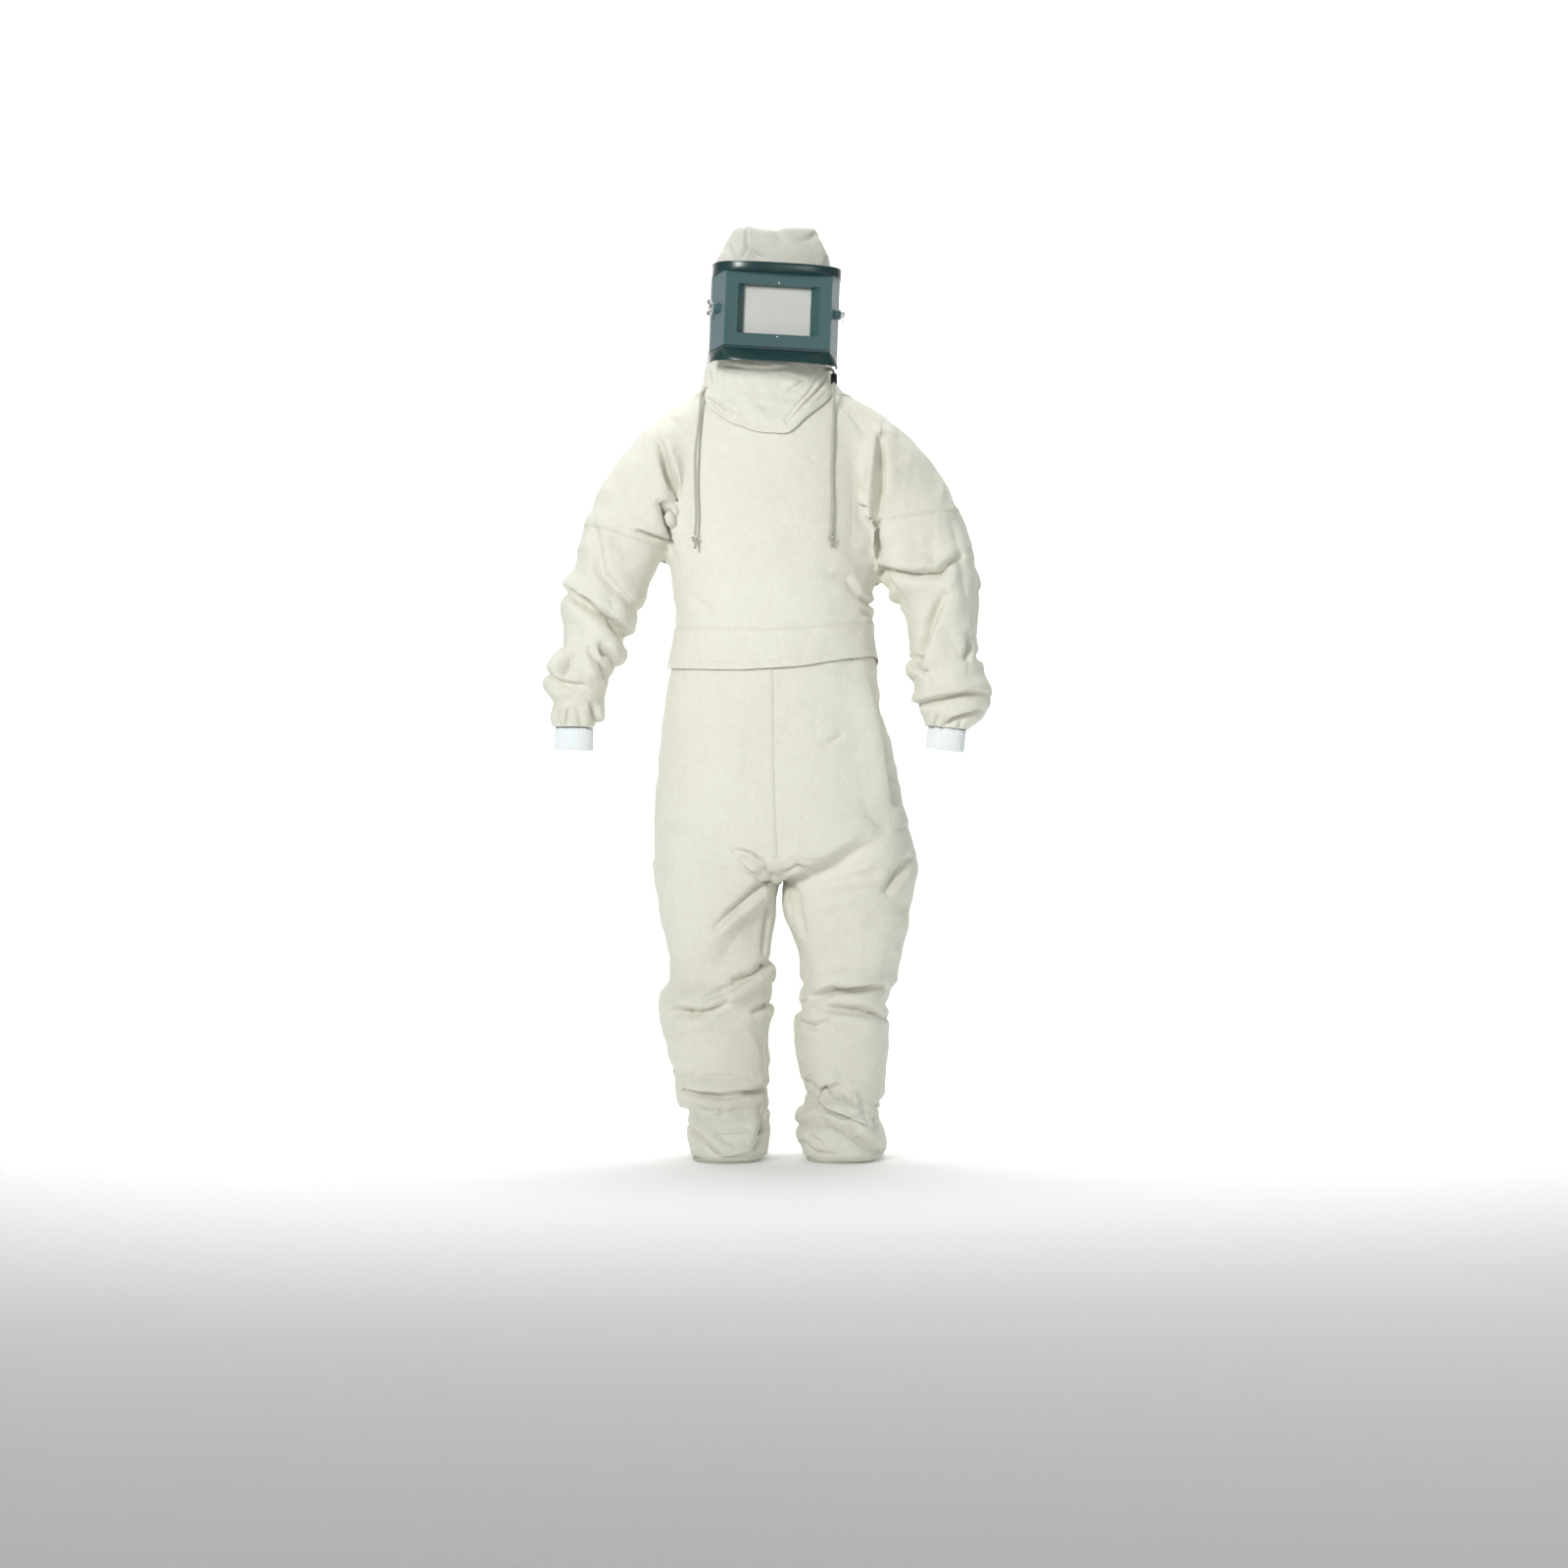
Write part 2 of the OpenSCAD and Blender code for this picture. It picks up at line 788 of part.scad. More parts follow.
bodice_front();
bodice_back();
sleeve_left_front();
sleeve_left_back();
sleeve_right_front();
sleeve_right_back();
cuff_left();
cuff_right();
waist_flap();
hook_strip();
loop_strip();
trouser_left_front();
trouser_left_back();
trouser_right_front();
trouser_right_back();
fly_facing();
boot_cover_left();
boot_cover_right();
boot_sole_left();
boot_sole_right();
neck_front();
neck_back();
bib();
hood_crown();
hood_side_left();
hood_side_right();
hood_back();
headband();
crown_strap();
sweatband();
band_knob();
pivot_stud_left();
pivot_stud_right();
visor_shell();
window_gasket();
window_glass();
window_frame();
frame_screws();
washers();
wing_nut_left();
wing_nut_right();
eyelet_left();
eyelet_right();
drawstring_left();
drawstring_right();
knot_left();
knot_right();
cord_lock();
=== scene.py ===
"""A canvas suit with hood, tilting visor, knit cuffs and drawstrings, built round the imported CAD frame."""
import json
import math
from contextlib import contextmanager

import bmesh
import bpy
import numpy as np
from mathutils import Matrix, Vector, noise
from mathutils.bvhtree import BVHTree


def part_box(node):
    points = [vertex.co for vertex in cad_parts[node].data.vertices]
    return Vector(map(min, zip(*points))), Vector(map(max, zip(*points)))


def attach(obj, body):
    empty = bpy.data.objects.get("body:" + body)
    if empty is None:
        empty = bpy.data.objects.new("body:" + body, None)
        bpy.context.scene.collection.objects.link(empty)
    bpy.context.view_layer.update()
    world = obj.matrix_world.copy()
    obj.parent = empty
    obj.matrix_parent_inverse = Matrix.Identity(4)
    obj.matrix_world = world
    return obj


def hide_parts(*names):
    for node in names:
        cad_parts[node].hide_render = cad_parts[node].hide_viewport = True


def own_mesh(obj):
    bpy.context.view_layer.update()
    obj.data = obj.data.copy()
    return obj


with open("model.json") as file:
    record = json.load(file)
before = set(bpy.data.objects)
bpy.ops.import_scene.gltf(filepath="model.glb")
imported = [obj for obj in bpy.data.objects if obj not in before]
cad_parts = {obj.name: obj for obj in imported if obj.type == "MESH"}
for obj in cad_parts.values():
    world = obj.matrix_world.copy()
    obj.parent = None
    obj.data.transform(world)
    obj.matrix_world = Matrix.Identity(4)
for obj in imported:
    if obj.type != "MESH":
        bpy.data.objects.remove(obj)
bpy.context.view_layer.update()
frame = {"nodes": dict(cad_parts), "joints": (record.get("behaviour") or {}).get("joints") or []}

MM = 0.001
SUIT = "suit"
VISOR = "visor"

# ---------------------------------------------------------------- camera

CAMERA_HEIGHT = 0.737
CAMERA_DISTANCE = 6.9
CAMERA_X = 0.035
camera_data = bpy.data.cameras.new("camera")
camera_data.lens = 80
camera_data.sensor_width = 36
camera = bpy.data.objects.new("camera", camera_data)
camera.location = (CAMERA_X, -CAMERA_DISTANCE, CAMERA_HEIGHT)
camera.rotation_euler = (math.radians(90), 0, 0)
bpy.context.collection.objects.link(camera)
bpy.context.scene.camera = camera


# ---------------------------------------------------------------- small helpers

def link(name, mesh):
    """A new object for a mesh."""
    obj = bpy.data.objects.new(name, mesh)
    bpy.context.collection.objects.link(obj)
    return obj


def shade_smooth(mesh):
    """Shades every face of a mesh smooth."""
    mesh.polygons.foreach_set("use_smooth", [True] * len(mesh.polygons))


def from_arrays(name, verts, faces):
    """A new smooth mesh object from points in metres and faces."""
    mesh = bpy.data.meshes.new(name)
    mesh.from_pydata([tuple(v) for v in verts], [], [tuple(f) for f in faces])
    mesh.validate()
    mesh.update()
    shade_smooth(mesh)
    return link(name, mesh)


def tube_faces(count, ring, closed=False, caps=True):
    """The faces between rings of points: a closed loop of rings, or a run with a cap at each end."""
    faces = []
    for i in range(count if closed else count - 1):
        j = (i + 1) % count
        for k in range(ring):
            n = (k + 1) % ring
            faces.append((i * ring + k, i * ring + n, j * ring + n, j * ring + k))
    if caps and not closed:
        faces.append(tuple(range(ring - 1, -1, -1)))
        faces.append(tuple((count - 1) * ring + k for k in range(ring)))
    return faces


def grid_faces(rows, columns):
    """The faces of a sheet of points, row by row."""
    return [
        (i * columns + k, (i + 1) * columns + k, (i + 1) * columns + k + 1, i * columns + k + 1)
        for i in range(rows - 1) for k in range(columns - 1)
    ]


@contextmanager
def edited(obj):
    """An object's mesh as a bmesh, written back at the end."""
    bm = bmesh.new()
    bm.from_mesh(obj.data)
    yield bm
    bm.to_mesh(obj.data)
    bm.free()


def distances_along(points):
    """How far along a line each of its points lies."""
    return np.concatenate([[0], np.cumsum(np.linalg.norm(np.diff(points, axis=0), axis=1))])


def get_co(mesh):
    """The mesh's points as an array."""
    co = np.empty(len(mesh.vertices) * 3)
    mesh.vertices.foreach_get("co", co)
    return co.reshape(-1, 3)


def set_co(mesh, co):
    """Writes the points back."""
    mesh.vertices.foreach_set("co", np.asarray(co).ravel())
    mesh.update()


def get_normals(mesh):
    """The mesh's vertex normals as an array."""
    normals = np.empty(len(mesh.vertices) * 3)
    mesh.vertex_normals.foreach_get("vector", normals)
    return normals.reshape(-1, 3)


def apply_modifiers(obj):
    """Replaces an object's mesh with its evaluated one."""
    graph = bpy.context.evaluated_depsgraph_get()
    mesh = bpy.data.meshes.new_from_object(obj.evaluated_get(graph))
    obj.modifiers.clear()
    old = obj.data
    obj.data = mesh
    bpy.data.meshes.remove(old)


def smoothstep(low, high, x):
    """0 below low, 1 above high."""
    t = np.clip((x - low) / (high - low), 0, 1)
    return t * t * (3 - 2 * t)


def finish_mesh(obj):
    """Recalculates normals outwards and shades smooth."""
    with edited(obj) as bm:
        bmesh.ops.recalc_face_normals(bm, faces=bm.faces)
    shade_smooth(obj.data)


def bvh_of(obj):
    """A search tree over an object's mesh."""
    mesh = obj.data
    points = [v.co[:] for v in mesh.vertices]
    return BVHTree.FromPolygons(points, [p.vertices[:] for p in mesh.polygons])


# ---------------------------------------------------------------- materials

def new_material(name, base, roughness, metallic=0.0):
    """A material with its Principled shader set, and that shader."""
    material = bpy.data.materials.new(name)
    material.use_nodes = True
    shader = material.node_tree.nodes["Principled BSDF"]
    shader.inputs["Base Color"].default_value = (*base, 1)
    shader.inputs["Roughness"].default_value = roughness
    shader.inputs["Metallic"].default_value = metallic
    return material, shader


def add(material, kind, **values):
    """A node with some of its properties or inputs set."""
    made = material.node_tree.nodes.new(kind)
    for key, value in values.items():
        if hasattr(made, key):
            setattr(made, key, value)
        else:
            made.inputs[key.replace("_", " ")].default_value = value
    return made


def join(material, source, target):
    """A link between two sockets."""
    material.node_tree.links.new(source, target)


def ramp(material, factor, low, high, at=(0.0, 1.0)):
    """A two-colour ramp driven by a factor."""
    made = add(material, "ShaderNodeValToRGB")
    made.color_ramp.elements[0].position = at[0]
    made.color_ramp.elements[1].position = at[1]
    made.color_ramp.elements[0].color = (*low, 1)
    made.color_ramp.elements[1].color = (*high, 1)
    join(material, factor, made.inputs["Fac"])
    return made.outputs["Color"]


def textures(material, place, *nodes):
    """Maps textures by the object's own coordinates."""
    for texture in nodes:
        join(material, place.outputs["Object"], texture.inputs["Vector"])


def vary_roughness(material, shader, factor, low, high):
    """Lets the roughness follow a texture between two values."""
    rough = add(material, "ShaderNodeMapRange")
    rough.inputs["To Min"].default_value = low
    rough.inputs["To Max"].default_value = high
    join(material, factor, rough.inputs["Value"])
    join(material, rough.outputs["Result"], shader.inputs["Roughness"])


def relief_from(material, height, strength, distance):
    """A bump node that reads a height."""
    relief = add(material, "ShaderNodeBump", Strength=strength, Distance=distance)
    join(material, height, relief.inputs["Height"])
    return relief


def woven(name, light, dark, thread, bump=0.25, sheen=0.15, wear=0.5, crumple=0.0):
    """Plain-weave cloth: crossing threads, uneven yarn, faint broad stains and a soft sheen."""
    material, shader = new_material(name, light, 0.92)
    shader.inputs["Sheen Weight"].default_value = sheen
    shader.inputs["Sheen Roughness"].default_value = 0.6
    shader.inputs["Specular IOR Level"].default_value = 0.2
    place = add(material, "ShaderNodeTexCoord")
    broad = add(material, "ShaderNodeTexNoise", Scale=3.2, Detail=3.0, Roughness=0.55)
    fine = add(material, "ShaderNodeTexNoise", Scale=90.0, Detail=4.0, Roughness=0.65)
    warp = add(material, "ShaderNodeTexWave", bands_direction="X", Scale=thread, Distortion=0.6, Detail=1.0)
    weft = add(material, "ShaderNodeTexWave", bands_direction="Z", Scale=thread, Distortion=0.6, Detail=1.0)
    textures(material, place, broad, fine, warp, weft)
    cloth = add(material, "ShaderNodeMath", operation="MULTIPLY")
    join(material, warp.outputs["Fac"], cloth.inputs[0])
    join(material, weft.outputs["Fac"], cloth.inputs[1])
    mixed = add(material, "ShaderNodeMix", data_type="RGBA", blend_type="MIX")
    mixed.inputs["Factor"].default_value = wear
    join(material, ramp(material, broad.outputs["Fac"], dark, light, (0.3, 0.62)), mixed.inputs["A"])
    join(material, ramp(material, fine.outputs["Fac"], dark, light, (0.25, 0.6)), mixed.inputs["B"])
    join(material, mixed.outputs["Result"], shader.inputs["Base Color"])
    total = add(material, "ShaderNodeMath", operation="ADD")
    join(material, cloth.outputs[0], total.inputs[0])
    join(material, fine.outputs["Fac"], total.inputs[1])
    relief = relief_from(material, total.outputs[0], bump, 0.0006)
    if crumple:
        folds = add(material, "ShaderNodeTexNoise", Scale=7.0, Detail=3.0, Roughness=0.5, Distortion=0.8)
        textures(material, place, folds)
        centred = add(material, "ShaderNodeMath", operation="SUBTRACT")
        centred.inputs[1].default_value = 0.5
        join(material, folds.outputs["Fac"], centred.inputs[0])
        ridged = add(material, "ShaderNodeMath", operation="ABSOLUTE")
        join(material, centred.outputs[0], ridged.inputs[0])
        broken = relief_from(material, ridged.outputs[0], crumple, 0.03)
        join(material, broken.outputs["Normal"], relief.inputs["Normal"])
    join(material, relief.outputs["Normal"], shader.inputs["Normal"])
    vary_roughness(material, shader, broad.outputs["Fac"], 0.86, 1.0)
    return material


def moulded(name, base, lighter, roughness, bump=0.12, scale=260.0, wear=(0.35, 0.75)):
    """Moulded plastic: a fine leathery grain, slightly uneven gloss and a little colour drift."""
    material, shader = new_material(name, base, roughness)
    place = add(material, "ShaderNodeTexCoord")
    grain = add(material, "ShaderNodeTexNoise", Scale=scale, Detail=3.0, Roughness=0.6)
    drift = add(material, "ShaderNodeTexNoise", Scale=9.0, Detail=4.0, Roughness=0.6)
    textures(material, place, grain, drift)
    join(material, ramp(material, drift.outputs["Fac"], base, lighter, wear), shader.inputs["Base Color"])
    vary_roughness(material, shader, drift.outputs["Fac"], roughness * 0.85, roughness * 1.25)
    relief = relief_from(material, grain.outputs["Fac"], bump, 0.0004)
    join(material, relief.outputs["Normal"], shader.inputs["Normal"])
    return material


def metal(name, base, roughness):
    """Plated steel with fine handling marks."""
    material, shader = new_material(name, base, roughness, 1.0)
    place = add(material, "ShaderNodeTexCoord")
    marks = add(material, "ShaderNodeTexNoise", Scale=140.0, Detail=5.0, Roughness=0.7)
    textures(material, place, marks)
    vary_roughness(material, shader, marks.outputs["Fac"], roughness * 0.7, roughness * 1.6)
    relief = relief_from(material, marks.outputs["Fac"], 0.05, 0.0002)
    join(material, relief.outputs["Normal"], shader.inputs["Normal"])
    return material


def pane_glass(name):
    """Dusty pale window glass that hides most of what is behind it."""
    material, shader = new_material(name, (0.58, 0.59, 0.545), 0.12)
    shader.inputs["IOR"].default_value = 1.5
    shader.inputs["Transmission Weight"].default_value = 0.1
    place = add(material, "ShaderNodeTexCoord")
    haze = add(material, "ShaderNodeTexNoise", Scale=14.0, Detail=4.0, Roughness=0.6)
    textures(material, place, haze)
    colour = ramp(material, haze.outputs["Fac"], (0.64, 0.66, 0.61), (0.68, 0.70, 0.65), (0.3, 0.7))
    join(material, colour, shader.inputs["Base Color"])
    vary_roughness(material, shader, haze.outputs["Fac"], 0.08, 0.22)
    return material


CANVAS = woven("canvas", (0.780, 0.778, 0.690), (0.700, 0.690, 0.590), 420.0, crumple=0.38)
# Darker copy of the canvas for the hood: painted shade, for a crown that the lamps light less
CANVAS_HOOD_SHADED = woven("canvas_hood_painted_shade", (0.700, 0.705, 0.635), (0.630, 0.625, 0.545), 420.0, crumple=0.38)
CANVAS_SEAM = woven("canvas_seam", (0.740, 0.740, 0.640), (0.680, 0.680, 0.580), 420.0, crumple=0.3)
SOLE = woven("sole_cloth", (0.560, 0.560, 0.480), (0.480, 0.480, 0.400), 300.0)
KNIT = woven("knit", (0.890, 0.940, 0.950), (0.830, 0.890, 0.905), 700.0, 0.3, 0.3)
TAPE = woven("fastening_tape", (0.640, 0.640, 0.560), (0.560, 0.560, 0.480), 900.0, 0.6)
CORD = woven("cord", (0.560, 0.560, 0.460), (0.430, 0.430, 0.340), 900.0, 0.5)
FOAM = woven("foam", (0.100, 0.095, 0.090), (0.060, 0.058, 0.055), 800.0, 0.5)
VISOR_GREEN = moulded("visor_plastic", (0.036, 0.096, 0.101), (0.046, 0.114, 0.120), 0.36)
# Lighter copy of the visor plastic for the side facets: painted reflection of the bright backdrop at a grazing
# angle
VISOR_SIDE_REFLECTION = moulded("visor_side_painted_reflection", (0.120, 0.185, 0.205), (0.140, 0.205, 0.225), 0.30)
VISOR_RIM = moulded("visor_rim", (0.010, 0.038, 0.038), (0.016, 0.050, 0.050), 0.24)
BLACK = moulded("black_plastic", (0.012, 0.012, 0.013), (0.02, 0.02, 0.021), 0.42)
RUBBER = moulded("gasket_rubber", (0.010, 0.010, 0.010), (0.016, 0.016, 0.016), 0.7)
STEEL = metal("steel", (0.62, 0.62, 0.60), 0.32)
BRIGHT = metal("bright_steel", (0.86, 0.87, 0.89), 0.14)
GLASS = pane_glass("glass")
THREAD = woven("thread", (0.800, 0.800, 0.720), (0.700, 0.700, 0.620), 1200.0)


def dress(obj, material, body=SUIT):
    """Gives a piece its material and the body that it rides on."""
    obj.data.materials.clear()
    obj.data.materials.append(material)
    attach(obj, body)


# ---------------------------------------------------------------- drawstrings

CORD_DIAMETER = 0.006
ROUTE_LEFT = [
    (-112, -34, 1514), (-118, -42, 1513), (-124, -50, 1510), (-127, -58, 1503),
    (-128, -66, 1490), (-129, -76, 1470), (-131, -86, 1445), (-134, -94, 1420),
    (-138, -99, 1390), (-139, -101, 1360), (-138, -101, 1330), (-138, -101, 1300),
    (-136, -101, 1270), (-137, -101, 1245), (-139, -101, 1222),
]
ROUTE_RIGHT = [
    (114, -36, 1552), (121, -42, 1554), (128, -47, 1553), (133, -52.3, 1548), (133, -56, 1538),
    (133, -69, 1502), (133, -81, 1469), (132, -91, 1442), (131, -98, 1415),
    (130, -103, 1385), (129, -105, 1350), (130, -105, 1315), (130, -105, 1280),
    (129, -105, 1250), (128, -105, 1222),
]


def cut_corners(points):
    """One step of halfway corner cutting, as in the CAD route."""
    middles = [(a + b) / 2 for a, b in zip(points, points[1:])]
    return [points[0], *middles, points[-1]]


def resample(points, step):
    """Even steps along a smooth curve through the points."""
    points = np.array([tuple(p) for p in points])
    ends = np.vstack([2 * points[0] - points[1], points, 2 * points[-1] - points[-2]])
    out = []
    for i in range(1, len(ends) - 2):
        p0, p1, p2, p3 = ends[i - 1:i + 3]
        for t in np.linspace(0, 1, 12, endpoint=False):
            out.append(0.5 * (2 * p1 + (p2 - p0) * t + (2 * p0 - 5 * p1 + 4 * p2 - p3) * t ** 2
                              + (3 * p1 - p0 - 3 * p2 + p3) * t ** 3))
    out.append(points[-1])
    out = np.array(out)
    along = distances_along(out)
    count = max(8, int(round(along[-1] / step)))
    at = np.linspace(0, along[-1], count + 1)
    return np.stack([np.interp(at, along, out[:, k]) for k in range(3)], axis=1), along[-1]


def twisted_tube(name, path, radius, strands=3, pitch=0.018, sides=18, groove=0.16):
    """A rope along a path: a tube whose section has strands that wind round it."""
    steps = np.gradient(path, axis=0)
    steps /= np.linalg.norm(steps, axis=1)[:, None]
    up = np.cross(steps[0], (1, 0, 0))
    up /= np.linalg.norm(up)
    along = distances_along(path)
    verts = []
    for i, point in enumerate(path):
        up = up - steps[i] * up.dot(steps[i])
        up /= np.linalg.norm(up)
        side = np.cross(steps[i], up)
        for k in range(sides):
            a = 2 * math.pi * k / sides
            wind = a * strands / 2 - math.pi * strands * along[i] / pitch
            r = radius * (1 - groove + groove * abs(math.cos(wind)))
            verts.append(point + r * (math.cos(a) * up + math.sin(a) * side))
    return from_arrays(name, verts, tube_faces(len(path), sides))


def overhand_knot(name, top, tail, radius=0.0032):
    """A small tied knot with a frayed tail under it."""
    top = Vector(top)
    turns = []
    for i in range(41):
        t = 2 * math.pi * i / 40
        turns.append((0.0042 * (math.sin(t) + 1.1 * math.sin(2 * t)) * 0.62,
                      0.0034 * math.sin(3 * t) * 0.9,
                      -0.0078 + 0.0040 * (math.cos(t) - 1.1 * math.cos(2 * t)) * 0.7))
    ring = np.array([tuple(top + Vector(p)) for p in turns])
    pieces = [twisted_tube(name + "_turns", ring, radius * 0.82, sides=14, pitch=0.02)]
    hang = [Vector((0.0012 * math.sin(0.3 * i), 0, -0.010 - tail * i / 10)) for i in range(11)]
    drop = np.array([tuple(top + p) for p in hang])
    pieces.append(twisted_tube(name + "_tail", drop, radius * 0.85, sides=14))
    for i in range(9):
        a = 2.4 * i
        start = Vector(drop[-1]) + Vector((0.0014 * math.cos(a), 0.0014 * math.sin(a), 0.001))
        thirds = np.linspace(0, 1, 4)
        loose = [Vector((0.0016 * math.cos(a) * t, 0.0016 * math.sin(a) * t, -0.005 * t)) for t in thirds]
        fray = np.array([tuple(start + p) for p in loose])
        pieces.append(twisted_tube(name + "_fray", fray, 0.0006, sides=6))
    return join_objects(name, pieces)


def join_objects(name, pieces):
    """One object from several, which are deleted."""
    bm = bmesh.new()
    for piece in pieces:
        bm.from_mesh(piece.data)
        old = piece.data
        bpy.data.objects.remove(piece)
        bpy.data.meshes.remove(old)
    mesh = bpy.data.meshes.new(name)
    bm.to_mesh(mesh)
    bm.free()
    shade_smooth(mesh)
    return link(name, mesh)


def drawstring(side, route, tail):
    """A drawstring from its eyelet to the knot at its end."""
    points = cut_corners([Vector(p) * MM for p in route])
    path, length = resample(points, 0.0022)
    rope = twisted_tube("drawstring_rope_" + side, path, CORD_DIAMETER / 2)
    knot = overhand_knot("end_knot_" + side, path[-1], tail)
    for piece, node in ((rope, "drawstring_" + side), (knot, "knot_" + side)):
        dress(piece, CORD)
        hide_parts(node)


def cad(name):
    """The object of a CAD node."""
    return frame["nodes"][name]


drawstring("left", ROUTE_LEFT, 0.012)
drawstring("right", ROUTE_RIGHT, 0.008)


# ---------------------------------------------------------------- body of the garment

# Sections from top to bottom, in millimetres: height, left and right edge, front and back
TORSO = [
    (1558, -120, 136, -74, 116), (1530, -126, 138, -82, 124), (1502, -132, 152, -92, 134),
    (1470, -158, 184, -104, 144), (1420, -186, 210, -114, 152), (1350, -194, 217, -121, 158),
    (1240, -190, 209, -121, 157), (1160, -188, 207, -118, 154), (1080, -178, 207, -115, 150),
    (1040, -180, 211, -114, 150), (965, -190, 217, -118, 154), (890, -202, 230, -121, 160),
    (790, -214, 248, -124, 168), (700, -221, 266, -124, 172), (620, -222, 284, -120, 172),
    (582, -196, 262, -104, 150), (562, -50, 96, -60, 94),
]
SLEEVE_LEFT = [
    (1500, -152, -40, -30, 70), (1478, -196, -60, -56, 94), (1440, -248, -90, -72, 108),
    (1396, -286, -112, -80, 114), (1320, -332, -140, -82, 114), (1240, -365, -182, -78, 108),
    (1200, -375, -204, -74, 104), (1160, -385, -220, -71, 100), (1120, -400, -237, -68, 96),
    (1088, -411, -252, -68, 92), (1052, -399, -280, -58, 84), (1012, -401, -286, -60, 78),
    (972, -431, -306, -64, 72), (930, -447, -318, -62, 64), (895, -420, -325, -52, 54),
    (868, -430, -328, -50, 46), (850, -420, -338, -42, 38), (840, -412, -346, -36, 32),
]
SLEEVE_RIGHT = [
    (1500, 70, 192, -30, 70), (1478, 80, 230, -56, 94), (1440, 100, 277, -72, 108),
    (1396, 130, 315, -80, 114), (1320, 160, 364, -82, 114), (1240, 196, 401, -78, 108),
    (1200, 212, 413, -74, 104), (1160, 224, 422, -71, 100), (1120, 247, 423, -68, 96),
    (1086, 274, 422, -66, 92), (1047, 287, 421, -60, 86), (1008, 289, 416, -60, 80),
    (969, 290, 432, -64, 74), (931, 298, 443, -62, 66), (892, 292, 443, -56, 58),
    (866, 308, 428, -48, 48), (846, 318, 408, -42, 38), (836, 322, 394, -36, 32),
]
LEG_LEFT = [
    (640, -221, 18, -108, 158), (580, -221, 14, -100, 154), (540, -219, 8, -96, 146),
    (465, -209, 12, -86, 134), (420, -197, 9, -80, 126), (375, -185, 8, -75, 120),
    (350, -184, 8, -73, 116), (318, -208, 7, -82, 118), (270, -206, 6, -77, 114),
    (195, -192, 6, -71, 108), (120, -179, 3, -70, 102), (92, -168, 2, -76, 98),
]
LEG_RIGHT = [
    (640, 22, 284, -108, 158), (580, 28, 289, -100, 154), (540, 39, 289, -96, 146),
    (465, 49, 284, -86, 134), (390, 64, 265, -77, 124), (345, 71, 246, -74, 116),
    (318, 78, 237, -76, 114), (272, 60, 239, -77, 112), (232, 54, 241, -75, 110),
    (190, 61, 241, -73, 108), (150, 73, 236, -70, 103), (112, 82, 230, -68, 97),
    (90, 84, 224, -70, 94),
]
RING = 56


def superellipse(a, power):
    """A unit rounded outline at an angle."""
    c, s = math.cos(a), math.sin(a)
    return (math.copysign(abs(c) ** (2 / power), c), math.copysign(abs(s) ** (2 / power), s))


def loft(name, sections, step=10, power=2.25, ring=RING):
    """A closed form through sections of (height, left, right, front, back)."""
    table = np.array(sections, float)[::-1]
    heights = np.arange(table[0, 0], table[-1, 0] + 0.1, step)
    if heights[-1] < table[-1, 0]:
        heights = np.append(heights, table[-1, 0])
    columns = [np.interp(heights, table[:, 0], table[:, k]) for k in range(1, 5)]
    verts = []
    for i, z in enumerate(heights):
        left, right, front, back = (c[i] for c in columns)
        for k in range(ring):
            x, y = superellipse(2 * math.pi * k / ring, power)
            across = (left + right) / 2 + x * (right - left) / 2
            verts.append((across, (front + back) / 2 + y * (back - front) / 2, z))
    return from_arrays(name, np.array(verts) * MM, tube_faces(len(heights), ring))


def voxel_union(name, pieces, voxel, smooth_steps):
    """One even, smoothed skin over several overlapping forms."""
    obj = join_objects(name, pieces)
    remesh = obj.modifiers.new("remesh", "REMESH")
    remesh.mode = "VOXEL"
    remesh.voxel_size = voxel
    remesh.adaptivity = 0
    smooth = obj.modifiers.new("smooth", "SMOOTH")
    smooth.factor = 0.5
    smooth.iterations = smooth_steps
    apply_modifiers(obj)
    return obj


def relax(obj, weight, rounds):
    """Laplacian smoothing with a weight for each point."""
    mesh = obj.data
    edges = np.empty(len(mesh.edges) * 2, int)
    mesh.edges.foreach_get("vertices", edges)
    a, b = edges.reshape(-1, 2).T
    count = np.bincount(a, minlength=len(weight)) + np.bincount(b, minlength=len(weight))
    count = np.maximum(count, 1)[:, None]
    co = get_co(mesh)
    for _ in range(rounds):
        total = np.zeros_like(co)
        np.add.at(total, a, co[b])
        np.add.at(total, b, co[a])
        co += 0.5 * weight[:, None] * (total / count - co)
    set_co(mesh, co)


def build_skin():
    """The suit's whole skin, from the neck to the ankles and wrists."""
    forms = [
        loft("torso", TORSO), loft("arm_l", SLEEVE_LEFT), loft("arm_r", SLEEVE_RIGHT),
        loft("leg_l", LEG_LEFT), loft("leg_r", LEG_RIGHT),
    ]
    skin = voxel_union("skin", forms, 0.012, 3)
    co = get_co(skin.data)
    shoulder = smoothstep(1.330, 1.440, co[:, 2]) * (1 - smoothstep(1.50, 1.53, co[:, 2]))
    relax(skin, shoulder, 40)
    return skin


CLOTH_FRAMES = 24
BUCKLE_LIMIT = 0.012


